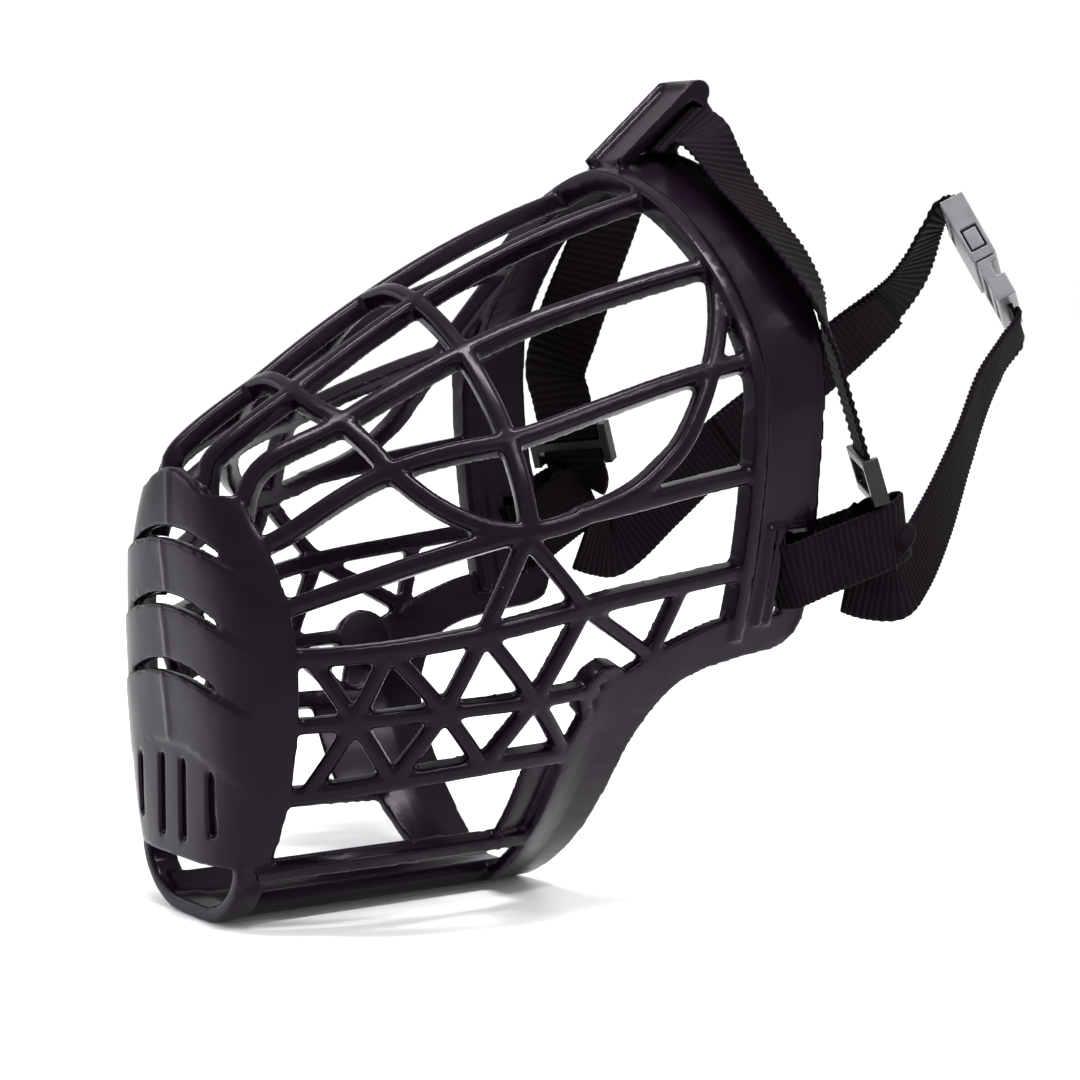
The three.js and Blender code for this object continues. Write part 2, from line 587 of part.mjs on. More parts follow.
const SLOPE = V(0, Math.cos(TAB_LEAN), Math.sin(TAB_LEAN));
const BRIDGE_STRAP = tabPoint(0, TAB_LENGTH - 11.2, -2.9);
const glidePoints = (ups) => ups.map((up) => [onGlide(up), GLIDE_WIDTH.clone()]);
const BRIDGE_EXIT = [V(9, BRIDGE_STRAP.y + 0.4, BRIDGE_STRAP.z - 0.6), SLOPE.clone()];
// The left fall lies on the rim; the right one hangs free, just behind the rim's edge.
const LEFT_FALL = [
  BRIDGE_EXIT,
  [V(17.1, 115, 153.6), V(-0.2, 0.92, 0.2)],
  [V(27.3, 115.2, 144.2), V(-0.36, 0.9, 0.05)],
  [V(36.6, 114.6, 137.6), V(-0.42, 0.88, 0)],
  [V(45.2, 115.4, 130.2), V(-0.47, 0.87, 0)],
  [V(51.2, 117.8, 120.4), V(-0.66, 0.74, 0.03)],
  ...glidePoints([32, 25]),
];
const RIGHT_FALL = [
  BRIDGE_EXIT,
  [V(20, 120.5, 150.5), V(-0.25, 0.9, 0.35)],
  [V(30, 124.8, 139.5), V(-0.36, 0.93, 0.05)],
  [V(39.5, 125.4, 126), V(-0.45, 0.89, 0)],
  [V(46.5, 124.6, 113), V(-0.65, 0.76, 0)],
  ...glidePoints([23]),
];
const IN_LOOP = [
  ...glidePoints([17, 8, 3, -1.2, -3.2]),
  [V(55.5, 131.7, 75.4), V(0.12, 0.99, 0.04)],
  [V(56.1, 131.3, 73), V(0.2, 0.97, 0)],
  [V(54.9, 131, 66), V(0.2, 0.97, 0)],
  [V(53.2, 130.4, 59), V(0.2, 0.97, 0)],
];
const mirroredRoute = (route) => route.map(([p, w]) => [mirrored(p, -1), mirrored(w, -1)]).reverse();
const FOREHEAD_ROUTE = [
  ...mirroredRoute([...RIGHT_FALL, ...IN_LOOP]),
  [V(-4.5, BRIDGE_STRAP.y, BRIDGE_STRAP.z), SLOPE.clone()],
  [V(4.5, BRIDGE_STRAP.y, BRIDGE_STRAP.z), SLOPE.clone()],
  ...LEFT_FALL,
  ...IN_LOOP,
];
const foreheadStrap = ribbon(FOREHEAD_ROUTE, 3 * (FOREHEAD_ROUTE.length - 1));
addMesh('forehead_strap', foreheadStrap, WEBBING);

// Doubled webbing loops: out through the cheek slot, round the head strap and back inside.
const LOOP_PATH = [
  [52.8, 111], [54.6, 118], [57.2, 125], [58.8, 132], [58.7, 139], [56.4, 142], [53.8, 140],
  [52, 134.5], [49.6, 126], [46.2, 118.5], [44, 112.5], [46.2, 110.2], [50.6, 110],
];
const LOOP_Z = (SLOT_LOW + SLOT_HIGH) / 2;
const cheekLoop = (s) => ribbon(
  LOOP_PATH.map(([x, y]) => [V(s * x, y, LOOP_Z), V(s * 0.22, 0, 0.975)]),
  36,
  { ring: true },
);

// Tri-glide: a rectangular frame with a middle bar. Its middle bar lies on one side of the
// webbing and its two end bars on the other, so the webbing is gripped but stays straight.
const GLIDE = { width: 20.6, length: 11, rail: 2.2, bar: 2.2, thick: 1.8, up: 5 };
const frameOf = (across, along, place) => {
  const basis = new THREE.Matrix4().makeBasis(across, along, V(0, 0, 0).crossVectors(across, along));
  return { turn: new THREE.Quaternion().setFromRotationMatrix(basis), place };
};
const glideFrame = (s) => (
  frameOf(mirrored(GLIDE_WIDTH, s), mirrored(GLIDE_AXIS, s), mirrored(onGlide(GLIDE.up), s))
);
const triGlide = () => {
  const off = WEB_THICK / 2 + GAP + GLIDE.thick / 2;
  const railAt = (GLIDE.width - GLIDE.rail) / 2;
  const deep = 2 * off + GLIDE.thick;
  const endAt = (GLIDE.length - GLIDE.bar) / 2;
  const box = (w, l, t, x, y, z) => block(V(w, l, t), V(x, y, z));
  return unite([
    box(GLIDE.rail, GLIDE.length, deep, railAt, 0, 0),
    box(GLIDE.rail, GLIDE.length, deep, -railAt, 0, 0),
    box(GLIDE.width, GLIDE.bar, GLIDE.thick, 0, endAt, off),
    box(GLIDE.width, GLIDE.bar, GLIDE.thick, 0, -endAt, off),
    box(GLIDE.width, GLIDE.bar, GLIDE.thick, 0, 0, -off),
  ]);
};
const placed = (name, solid, finish, { turn, place }) => {
  const part = addMesh(name, solid, finish);
  part.quaternion.copy(turn);
  part.position.copy(place);
};

// ---------------------------------------------------------------- side release buckle
// Local frame: X across the webbing, Y along it from socket to plug, Z towards the neck.
const BUCKLE_AXIS = V(0.583, 0.096, -0.806).normalize();
const BUCKLE_WIDTH = V(-0.61, 0.707, -0.358)
  .addScaledVector(BUCKLE_AXIS, -V(-0.61, 0.707, -0.358).dot(BUCKLE_AXIS))
  .normalize();
const BUCKLE_FACE = V(0, 0, 0).crossVectors(BUCKLE_WIDTH, BUCKLE_AXIS).normalize();
const BUCKLE_CENTRE = V(2, 208.3, 127.6);
const buckleFrame = frameOf(BUCKLE_WIDTH, BUCKLE_AXIS, BUCKLE_CENTRE);
const buckleAt = (x, y, z) => BUCKLE_CENTRE.clone()
  .addScaledVector(BUCKLE_WIDTH, x)
  .addScaledVector(BUCKLE_AXIS, y)
  .addScaledVector(BUCKLE_FACE, z);
const B = {
  width: 21, thick: 7, socketBack: -14, socketFront: 3, plugBack: 3.4, plugEnd: 14, plugThick: 5.2,
  shell: 1.5, hollowBack: -8.4, windowBack: -5.6, windowFront: 0.6, windowDeep: 2.4, windowTall: 4,
  slotHalf: 8, socketSlot: [-12, -9.6], plugSlots: [[5.4, 7.8], [9.8, 12.2]],
  tongueBack: -7.6, tongueWidth: 4.4, tongueThick: 2.8,
  armX: 7.6, armWidth: 2.2, armThick: 3.2, armBack: -6.7, armFront: 3.1,
  barbOut: 1.5, barbBack: -5, barbFront: 0,
};
const THROUGH = 10;              // reach of the cutting boxes past the faces they open
const buckleBox = ([x0, x1], [y0, y1], tall) => (
  block(V(x1 - x0, y1 - y0, tall), V((x0 + x1) / 2, (y0 + y1) / 2, 0))
);
const buckleHalf = B.width / 2;
const acrossBuckle = [-buckleHalf, buckleHalf];
const webbingSlot = (stretch) => buckleBox([-B.slotHalf, B.slotHalf], stretch, THROUGH);
const hollow = buckleBox(
  [-buckleHalf + B.shell, buckleHalf - B.shell],
  [B.hollowBack, THROUGH],
  B.thick - 2 * B.shell,
);
const windowStretch = [B.windowBack, B.windowFront];
const windows = [
  buckleBox([-buckleHalf - 1, -buckleHalf + B.windowDeep], windowStretch, B.windowTall),
  buckleBox([buckleHalf - B.windowDeep, buckleHalf + 1], windowStretch, B.windowTall),
];
const socket = cut(
  buckleBox(acrossBuckle, [B.socketBack, B.socketFront], B.thick),
  [hollow, ...windows, webbingSlot(B.socketSlot)],
);
const plugBase = unite([
  cut(buckleBox(acrossBuckle, [B.plugBack, B.plugEnd], B.plugThick), B.plugSlots.map(webbingSlot)),
  buckleBox([-B.tongueWidth / 2, B.tongueWidth / 2], [B.tongueBack, B.plugBack + 0.6], B.tongueThick),
]);
// Each springy arm has a barb that fills its side window when the buckle is shut.
const armBox = (x, stretch) => buckleBox([x - B.armWidth / 2, x + B.armWidth / 2], stretch, B.armThick);
const arm = (s) => unite([
  armBox(s * B.armX, [B.armBack, B.armFront]),
  armBox(s * (B.armX + B.barbOut), [B.barbBack, B.barbFront]),
]);

// The neck straps run from the cheek loops to the two halves of the buckle.
const NECK_END = (s) => [
  [V(s * 49.6, 140.6, 60), V(0, 0.5, -0.86)],
  [V(s * 48, 134, 59.4), V(0, 0.2, -0.98)],
  [V(s * 46.8, 128.4, 59.6), V(0, 0, -1)],
];
const neckLeft = ribbon([
  [buckleAt(0, 14.6, 0), BUCKLE_WIDTH.clone()],
  [buckleAt(0, 18, 0), BUCKLE_WIDTH.clone()],
  [V(16, 201.6, 106.4), V(-0.6, 0.66, -0.44)],
  [V(21.5, 190.2, 98), V(-0.5, 0.66, -0.56)],
  [V(28.5, 178.5, 87), V(-0.45, 0.66, -0.6)],
  [V(38.5, 162.4, 74.2), V(-0.25, 0.68, -0.68)],
  [V(46.6, 148, 64.8), V(-0.05, 0.6, -0.8)],
  ...NECK_END(1),
], 30);
const NECK_RIGHT = [
  [buckleAt(0, -15, -1.2), BUCKLE_WIDTH.clone()],
  [buckleAt(0, -15.8, 0.6), BUCKLE_WIDTH.clone()],
  [buckleAt(0, -15.6, 3), BUCKLE_WIDTH.clone()],
  [buckleAt(1.5, -13.6, 6.8), BUCKLE_WIDTH.clone()],
  [V(-19.5, 202.4, 121.5), V(-0.4, 0.78, -0.45)],
  [V(-28, 192.3, 108.8), V(-0.15, 0.72, -0.66)],
  [V(-36, 180.6, 96.6), V(-0.1, 0.68, -0.7)],
  [V(-42.4, 167.1, 84.8), V(-0.05, 0.66, -0.74)],
  [V(-47.4, 152, 70.6), V(0, 0.62, -0.78)],
  ...NECK_END(-1),
];
const neckRight = ribbon(NECK_RIGHT, 3 * (NECK_RIGHT.length - 1));
// The free end of the webbing doubles back over the right neck strap.
const strapTail = ribbon(NECK_RIGHT, 15, { from: 0.3, to: 0.72, lift: WEB_THICK + GAP });

addMesh('neck_strap_left', neckLeft, WEBBING);
addMesh('neck_strap_right', neckRight, WEBBING);
addMesh('strap_tail', strapTail, WEBBING);
placed('buckle_socket', socket, HARDWARE, buckleFrame);
placed('buckle_plug', plugBase, HARDWARE, buckleFrame);
for (const [s, side] of [[1, 'left'], [-1, 'right']]) {
  addMesh(`cheek_loop_${side}`, cheekLoop(s), WEBBING);
  placed(`tri_glide_${side}`, triGlide(), HARDWARE, glideFrame(s));
  placed(`buckle_arm_${side}`, arm(s), HARDWARE, buckleFrame);
}

export default root;
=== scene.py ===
"""Basket muzzle: a moulded cage, a webbing harness, two tri-glides and a side release buckle."""
import math

import bmesh
import bpy
import numpy as np
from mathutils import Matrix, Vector


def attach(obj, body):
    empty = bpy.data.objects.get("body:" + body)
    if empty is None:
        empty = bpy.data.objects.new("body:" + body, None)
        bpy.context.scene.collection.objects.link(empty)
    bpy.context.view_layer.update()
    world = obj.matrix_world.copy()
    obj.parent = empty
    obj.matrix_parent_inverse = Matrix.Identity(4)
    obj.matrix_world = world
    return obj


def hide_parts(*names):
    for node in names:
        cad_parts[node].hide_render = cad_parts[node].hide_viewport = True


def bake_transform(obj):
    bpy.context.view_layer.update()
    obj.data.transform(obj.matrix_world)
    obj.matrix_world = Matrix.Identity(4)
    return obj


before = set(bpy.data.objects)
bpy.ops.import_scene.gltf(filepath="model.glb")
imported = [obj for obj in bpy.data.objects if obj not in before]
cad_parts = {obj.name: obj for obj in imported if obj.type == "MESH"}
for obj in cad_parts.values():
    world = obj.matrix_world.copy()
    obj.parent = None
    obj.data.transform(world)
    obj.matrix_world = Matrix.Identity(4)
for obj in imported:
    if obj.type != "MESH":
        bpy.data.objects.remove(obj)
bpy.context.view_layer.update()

MM = 0.001

# ---------------------------------------------------------------- driving dimensions (mm)
WALL = 2.6
BAR_WIDTH = 3.6
BAR_DEPTH = 4.2
STRUT_WIDTH = 3.1
STRUT_DEPTH = 3.4
NOSE_Y = -2.0
HALF_WIDTH = 55.0
WIDEST_Y = 70.0
RIM_FRONT = 100.0
RIM_REAR = 116.5
RING2_Y = 47.0
FLOOR_Z = -1.0
SLOT_FRONT, SLOT_REAR, SLOT_LOW, SLOT_HIGH = 108.6, 111.8, 57.0, 74.0
WEB_WIDTH = 15.0
WEB_THICK = 1.25
BEVEL = 0.8
VOXEL = 0.5
CAGE_FACES = 190000
V = lambda *c: np.array(c, float)


def unit(v):
    v = np.asarray(v, float)
    return v / np.linalg.norm(v, axis=-1, keepdims=True)


# ---------------------------------------------------------------- the cage's outer surface
def half_width(y):
    t = np.maximum(0, (WIDEST_Y - y) / (WIDEST_Y - NOSE_Y))
    return HALF_WIDTH * np.maximum(0, 1 - t**2.1) ** (1 / 2.1)


def waist(y):
    return 53 + 0.47 * y


def roof(y):
    return 106.9 + 0.618 * (y - 19.5) - 0.00228 * (y - 19.5) * (y - 47.5)


def roof_roundness(y):
    return 1.62 + 1.5 * np.maximum(0, 1 - y / 25) ** 2


def section(y, z):
    """Height above or below the waist as a share of the section, and the section's roundness."""
    c = waist(y)
    above = z >= c
    n = np.where(above, roof_roundness(y), 3 - 1.2 * np.clip((y - 5) / 63, 0, 1))
    return np.abs(z - c) / np.where(above, roof(y) - c, c - FLOOR_Z), n


def level(p):
    y = np.maximum(p[..., 1], NOSE_Y + 0.2)
    share, n = section(y, p[..., 2])
    return (np.abs(p[..., 0]) / half_width(y)) ** n + share**n


def side_x(y, z):
    share, n = section(y, z)
    return half_width(y) * np.maximum(0, 1 - share**n) ** (1 / n)


def roof_z(x, y):
    n = roof_roundness(y)
    c = waist(y)
    return c + (roof(y) - c) * np.maximum(0, 1 - (np.abs(x) / half_width(y)) ** n) ** (1 / n)


def on_side(s, y, z):
    return V(s * side_x(y, z), y, z)


def on_roof(x, y):
    return V(x, y, roof_z(x, y))


def outward(p):
    p = np.asarray(p, float)
    e = 0.05
    steps = np.eye(3) * e
    return unit(np.stack([level(p + d) - level(p - d) for d in steps], axis=-1))


# ---------------------------------------------------------------- curves and solids
def curve(points, steps, closed=False):
    """Centripetal Catmull-Rom curve: steps + 1 points on it, or steps if it is closed."""
    pts = np.asarray(points, float)
    n = len(pts)
    spans = n if closed else n - 1
    out = []
    for i in range(steps if closed else steps + 1):
        t = i / steps * spans
        k = min(int(t), spans - 1)
        f = t - k
        p1, p2 = pts[k], pts[(k + 1) % n]
        p0 = pts[(k - 1) % n] if closed or k > 0 else 2 * p1 - p2
        p3 = pts[(k + 2) % n] if closed or k + 2 < n else 2 * p2 - p1
        d0, d1, d2 = [max(np.linalg.norm(b - a), 1e-8) ** 0.5 for a, b in ((p0, p1), (p1, p2), (p2, p3))]
        t1 = ((p1 - p0) / d0 - (p2 - p0) / (d0 + d1) + (p2 - p1) / d1) * d1
        t2 = ((p2 - p1) / d1 - (p3 - p1) / (d1 + d2) + (p3 - p2) / d2) * d1
        a = 2 * p1 - 2 * p2 + t1 + t2
        b = -3 * p1 + 3 * p2 - 2 * t1 - t2
        out.append(p1 + f * (t1 + f * (b + f * a)))
    return np.array(out)


def tangents(path, closed=False):
    if closed:
        return unit(np.roll(path, -1, axis=0) - np.roll(path, 1, axis=0))
    return unit(np.gradient(path, axis=0))


def loft(sections, closed=False):
    """A closed solid through loops of an even number of corners; open ends get strip caps."""
    sections = np.asarray(sections, float)
    n, k = sections.shape[:2]
    verts = sections.reshape(-1, 3)
    faces = []
    for i in range(n if closed else n - 1):
        a, b = i * k, (i + 1) % n * k
        faces += [(a + j, a + (j + 1) % k, b + (j + 1) % k, b + j) for j in range(k)]
    if not closed:
        for a in (0, (n - 1) * k):
            faces += [(a + j, a + j + 1, a + k - 2 - j, a + k - 1 - j) for j in range(k // 2 - 1)]
    return verts, faces


def bar(path, width=BAR_WIDTH, depth=BAR_DEPTH, sunk=0.0):
    along = tangents(path)
    side = unit(np.cross(along, outward(path)))
    out = unit(np.cross(side, along))
    half, flat = width / 2, width / 2 - BEVEL
    top, shoulder, bottom = -sunk, -sunk - BEVEL, -depth
    corners = [
        (-flat, top), (flat, top), (half, shoulder), (half, bottom), (-half, bottom), (-half, shoulder),
    ]
    return loft(np.stack([path + side * a + out * b for a, b in corners], axis=1))


def side_bar(s, points, steps=40, **extra):
    return bar(np.array([on_side(s, y, z) for y, z in curve(points, steps)]), **extra)


def roof_bar(s, points, steps=40, **extra):
    return bar(np.array([on_roof(s * x, y) for x, y in curve(points, steps)]), **extra)


def strut(s, start, end):
    path = [on_side(s, *(np.array(start) + (np.array(end) - start) * t)) for t in np.linspace(0, 1, 7)]
    return bar(np.array(path), width=STRUT_WIDTH, depth=STRUT_DEPTH, sunk=0.15)


def sheet_solid(rows, thick, lift=0.0, facing=outward):
    """A shell of even thickness below rows of points on the cage's surface."""
    rows = np.asarray(rows, float)
    out = facing(rows)
    rows = rows + out * lift
    under = rows - out * thick
    return loft(np.concatenate([rows, under[:, ::-1]], axis=1))


def block(low, high):
    corners = [(x, y) for x, y in ((0, 0), (1, 0), (1, 1), (0, 1))]
    low, high = np.asarray(low, float), np.asarray(high, float)
    ends = []
    for z in (0, 1):
        ends.append([low + (high - low) * V(x, y, z) for x, y in corners])
    return loft(ends)


def placed(solid, origin, x_axis, y_axis):
    """Moves a solid from its own frame to the shared frame."""
    z_axis = np.cross(x_axis, y_axis)
    verts = solid[0] @ np.array([x_axis, y_axis, z_axis]) + origin
    return verts, solid[1]


def joined(solids):
    verts, faces, count = [], [], 0
    for v, f in solids:
        verts.append(v)
        faces += [tuple(i + count for i in face) for face in f]
        count += len(v)
    return np.concatenate(verts), faces


def mesh_of(name, solid):
    mesh = bpy.data.meshes.new(name)
    mesh.from_pydata((solid[0] * MM).tolist(), [], [tuple(f) for f in solid[1]])
    mesh.update()
    return mesh


def add_object(name, mesh):
    obj = bpy.data.objects.new(name, mesh)
    bpy.context.scene.collection.objects.link(obj)
    return obj


def facing_out(obj):
    bm = bmesh.new()
    bm.from_mesh(obj.data)
    bmesh.ops.recalc_face_normals(bm, faces=bm.faces)
    bm.to_mesh(obj.data)
    bm.free()


def apply_modifiers(obj):
    graph = bpy.context.evaluated_depsgraph_get()
    mesh = bpy.data.meshes.new_from_object(obj.evaluated_get(graph))
    obj.modifiers.clear()
    old = obj.data
    obj.data = mesh
    bpy.data.meshes.remove(old)


def drop(obj):
    mesh = obj.data
    bpy.data.objects.remove(obj)
    bpy.data.meshes.remove(mesh)


def carved(solid, tools):
    """solid less the tools, taken away one after another."""
    body = add_object("carve_body", mesh_of("carve_body", solid))
    facing_out(body)
    for tool in tools:
        knife = add_object("carve_knife", mesh_of("carve_knife", tool))
        facing_out(knife)
        cut = body.modifiers.new("cut", "BOOLEAN")
        cut.operation = "DIFFERENCE"
        cut.solver = "MANIFOLD"
        cut.object = knife
        apply_modifiers(body)
        drop(knife)
    verts = np.array([v.co for v in body.data.vertices]) / MM
    faces = [tuple(p.vertices) for p in body.data.polygons]
    drop(body)
    return verts, faces


def moulded(name, solids, voxel, smooth, faces=None):
    """Solids melted into one moulding, with its corners and inner corners rounded."""
    obj = add_object(name, mesh_of(name, joined(solids)))
    facing_out(obj)
    melt = obj.modifiers.new("melt", "REMESH")
    melt.mode = "VOXEL"
    melt.voxel_size = voxel * MM
    if smooth:
        rounding = obj.modifiers.new("round", "SMOOTH")
        rounding.factor = 0.5
        rounding.iterations = smooth
    apply_modifiers(obj)
    count = sum(len(p.vertices) - 2 for p in obj.data.polygons)
    if faces and count > faces:
        thin = obj.modifiers.new("thin", "DECIMATE")
        thin.ratio = faces / count
        apply_modifiers(obj)
    obj.data.shade_smooth()
    return obj


# ---------------------------------------------------------------- nose plate
GUARD_MID, GUARD_LOW, GUARD_HIGH = 47.0, 12.6, 89.2
LOUVRE_TOPS = (76.5, 63.5, 50.5)
LOUVRE_HALF = 24.0
LOUVRE_DROOP = 6.8
PLATE_FRONT, PLATE_CURVE, PLATE_CENTRE = -3.0, 3.2, 5.3
SCALE_LIFT = 1.9
SCALE_REST = 0.4
SCALE_FADE = 15.0
VENT_SLOTS = ((4.3, 16.4, 32.5), (14.4, 18.4, 31.2))
VENT_WIDTH = 2.3


def guard_rear(z):
    above = 8.7 - 3.5 * ((z - GUARD_MID) / 29.5) ** 2
    below = 8.7 - 2.7 * ((GUARD_MID - z) / 36.5) ** 2
    return np.where(z > GUARD_MID, above, below)


def flat_curve(share):
    return np.maximum(0, 1 - share**PLATE_CURVE) ** (1 / PLATE_CURVE)


def plate_y(x, z):
    """The plate's front: nearly straight across, with soft corners down to its rear edges."""
    rear = guard_rear(z)
    centre = rear + PLATE_CENTRE
    reach = centre - PLATE_FRONT
    half = side_x(rear, z) / flat_curve(PLATE_CENTRE / reach)
    return centre - reach * flat_curve(np.abs(x) / half)


def plate_outward(p):
    e = 0.4
    x, z = p[..., 0], p[..., 2]
    slope_x = (plate_y(x + e, z) - plate_y(x - e, z)) / (2 * e)
    slope_z = (plate_y(x, z + e) - plate_y(x, z - e)) / (2 * e)
    return unit(np.stack([slope_x, -np.ones_like(slope_x), slope_z], axis=-1))


def guard_grid(columns=110, rows=120):
    u = np.linspace(-1, 1, columns + 1)[:, None]
    t = np.linspace(0, 1, rows + 1)[None, :]
    reach = side_x(guard_rear(50.0), 50.0)
    top = GUARD_HIGH - 4.4 * (np.minimum(np.abs(u) * reach, 17) / 17) ** 2
    z = GUARD_LOW + (top - GUARD_LOW) * t
    edge = side_x(guard_rear(z), z)
    x = np.sin(u * math.pi / 2.3) / math.sin(math.pi / 2.3) * edge
    return np.stack([x, plate_y(x, z), z], axis=-1)


def louvre_line(top, x):
    return top - LOUVRE_DROOP * (x / LOUVRE_HALF) ** 2


def louvre_cutter(top):
    sections = []
    for x in np.linspace(-LOUVRE_HALF, LOUVRE_HALF, 25):
        z = louvre_line(top, x)
        tall = 0.3 + 0.75 * max(0, 1 - (x / LOUVRE_HALF) ** 2) ** 1.5
        sections.append([V(x, -9, z - tall), V(x, -9, z + tall), V(x, 16, z + tall), V(x, 16, z - tall)])
    return loft(sections)


def stadium_cutter(x, low, high, width):
    half = width / 2
    turns = np.linspace(0, math.pi, 9)
    outline = [(half * math.cos(t), high - half + half * math.sin(t)) for t in turns]
    outline += [(-half * math.cos(t), low + half - half * math.sin(t)) for t in turns]
    return loft([[V(x + a, y, z) for a, z in outline] for y in (-12, 14)])


def scale_lift(p):
    """How far the plate bulges forwards: each scale comes out below its louvre and fades downwards."""
    x, z = p[:, 0], p[:, 2]
    across = np.maximum(0, 1 - (x / (LOUVRE_HALF + 1.5)) ** 2) ** 0.7
    lift = np.zeros(len(p))
    for top in LOUVRE_TOPS:
        below = louvre_line(top, x) - z
        inside = (below > 0) & (below < SCALE_FADE)
        share = np.clip(1 - below / SCALE_FADE, 0, 1)
        lift = np.where(inside, SCALE_REST + (SCALE_LIFT - SCALE_REST) * share**1.4, lift)
    seam = 0.35 * np.exp(-(x / 0.8) ** 2) * (z > 36)
    return lift * across + seam


def nose_plate():
    grid = guard_grid()
    plate = sheet_solid(grid, WALL, facing=plate_outward)
    tools = [louvre_cutter(top) for top in LOUVRE_TOPS]
    for s in (-1, 1):
        tools += [stadium_cutter(s * x, low, high, VENT_WIDTH) for x, low, high in VENT_SLOTS]
    verts, faces = carved(plate, tools)
    out = plate_outward(verts) * V(1, 1, 0)
    verts = verts + unit(out) * scale_lift(verts)[:, None]
    return verts, faces


# ---------------------------------------------------------------- front loop, rails, bottom strip
LOOP_FRONT, LOOP_REAR, LOOP_THICK = 0.6, 6.6, 3.0
LOOP_LINE = ((20.6, 13.5), (20, 10), (18.6, 7), (15.6, 3.7), (11.4, 1.3), (7.5, 0.2), (3.5, 0), (0, 0))


def front_loop():
    half = np.array(LOOP_LINE)
    line = curve(np.concatenate([half, half[-2::-1] * V(-1, 1)]), 70)
    along = tangents(line)
    out = np.stack([along[:, 1], -along[:, 0]], axis=1)
    out = out * np.where(np.sum(out * (line - V(0, 16)), axis=1, keepdims=True) < 0, -1, 1)
    sections = []
    for (x, z), (a, b) in zip(line, out):
        inner = V(x - a * LOOP_THICK, 0, z - b * LOOP_THICK)
        outer = V(x, 0, max(z, 0))
        front, rear = V(0, LOOP_FRONT, 0), V(0, LOOP_REAR, 0)
        sections.append([outer + front, outer + rear, inner + rear, inner + front])
    return loft(sections)


RAIL_LINE = (
    (21.0, 4, 11.6), (25.6, 13, 13), (29.2, 24, 13.9), (30.6, 38, 14.3), (29.8, 52, 14.2), (27.9, 62, 14.1),
)
RAIL_HALF = 1.75


def lower_rail(s):
    path = curve(np.array(RAIL_LINE) * V(s, 1, 1), 40)
    along = tangents(path)
    out = unit(V(s * 0.78, 0, -0.62))
    side = unit(np.cross(along, out))
    corners = ((-1, 0.85), (1, 0.85), (1, -1), (-1, -1))
    return loft(np.stack([path + (side * a + out * b) * RAIL_HALF for a, b in corners], axis=1))


STRIP_FLAT, STRIP_HALF, STRIP_THICK = 6.0, 14.0, 2.6


def bottom_strip():
    x = np.linspace(-STRIP_HALF, STRIP_HALF, 29)
    rise = 4.0 * (np.maximum(0, np.abs(x) - STRIP_FLAT) / (STRIP_HALF - STRIP_FLAT)) ** 1.4
    sections = []
    for y in (3.0, 68.0):
        under = [V(a, y, b) for a, b in zip(x, rise)]
        over = [V(a * 0.94, y, b + STRIP_THICK) for a, b in zip(x, rise)]
        sections.append(under + over[::-1])
    return loft(sections)


# ---------------------------------------------------------------- rim band
RIM_CHEEK_Z = 52.5
RIM_CORNER_Z = 58.0
RIM_CORNER = 5.5
RIM_FLARE_Z = 92.0
RIM_FLARE = 1.8
SLOT_X = 50.0
LIP_REACH, LIP_THICK, LIP_LIFT = 1.5, 5.4, 1.0
EDGE_WIDTH, EDGE_LIFT = 1.4, 0.35
# Ribs in front of and above each slot: from y, to y, from z, to z, thickness, height above the side.
SLOT_RIBS = (
    (104.2, 105.6, 55.4, 75.6, 3.4, 1.3),
    (107.0, 108.5, 55.4, 75.6, 3.4, 1.2),
    (104.4, 108.4, 55.4, 75.4, 3.2, 0.4),
    (104.4, 114.6, 74.8, 75.9, 3.0, 0.8),
)


def rim_rear(z):
    """The rear edge's y: a little further back at the slots, and rounded off at the bottom."""
    low = np.clip((RIM_FLARE_Z - z) / 30, 0, 1)
    drop_share = np.clip((RIM_CORNER_Z - z) / RIM_CORNER, 0, 1)
    return RIM_REAR + RIM_FLARE * low**2 * (3 - 2 * low) - 1.6 * (1 - math.sqrt(1 - drop_share**2))


def rim_station(share, y_of):
    """A point on the rim line: share runs from 0 at the left cheek to 1 on the crest."""
    cheek = 0.3
    if share < cheek:
        z = RIM_CHEEK_Z + (waist(RIM_FRONT) + 3 - RIM_CHEEK_Z) * share / cheek
        y = y_of(z)
        return V(side_x(y, z), y, z)
    start = 0.07
    turn = (start + (1 - start) * (share - cheek) / (1 - cheek)) * math.pi / 2
    y = y_of(200)
    n = roof_roundness(y)
    x = half_width(y) * math.cos(turn) ** (2 / n) if share < 1 else 0.0
    return V(x, y, roof_z(x, y))


def rim_shell(front_of, rear_of, thick, lift, across=6, half=56):
    shares = np.linspace(0, 1, half + 1)
    left = []
    for share in shares:
        a, b = rim_station(share, front_of), rim_station(share, rear_of)
        left.append([a + (b - a) * t for t in np.linspace(0, 1, across)])
    left = np.array(left)
    right = (left * V(-1, 1, 1))[-2::-1]
    return sheet_solid(np.concatenate([left, right]), thick, lift)


def side_patch(s, y0, y1, z0, z1, thick, lift):
    """A strip of moulding that follows the cage's side, raised above it."""
    rows = [[on_side(s, y, z) for z in np.linspace(z0, z1, 12)] for y in np.linspace(y0, y1, 5)]
    return sheet_solid(rows, thick, lift)


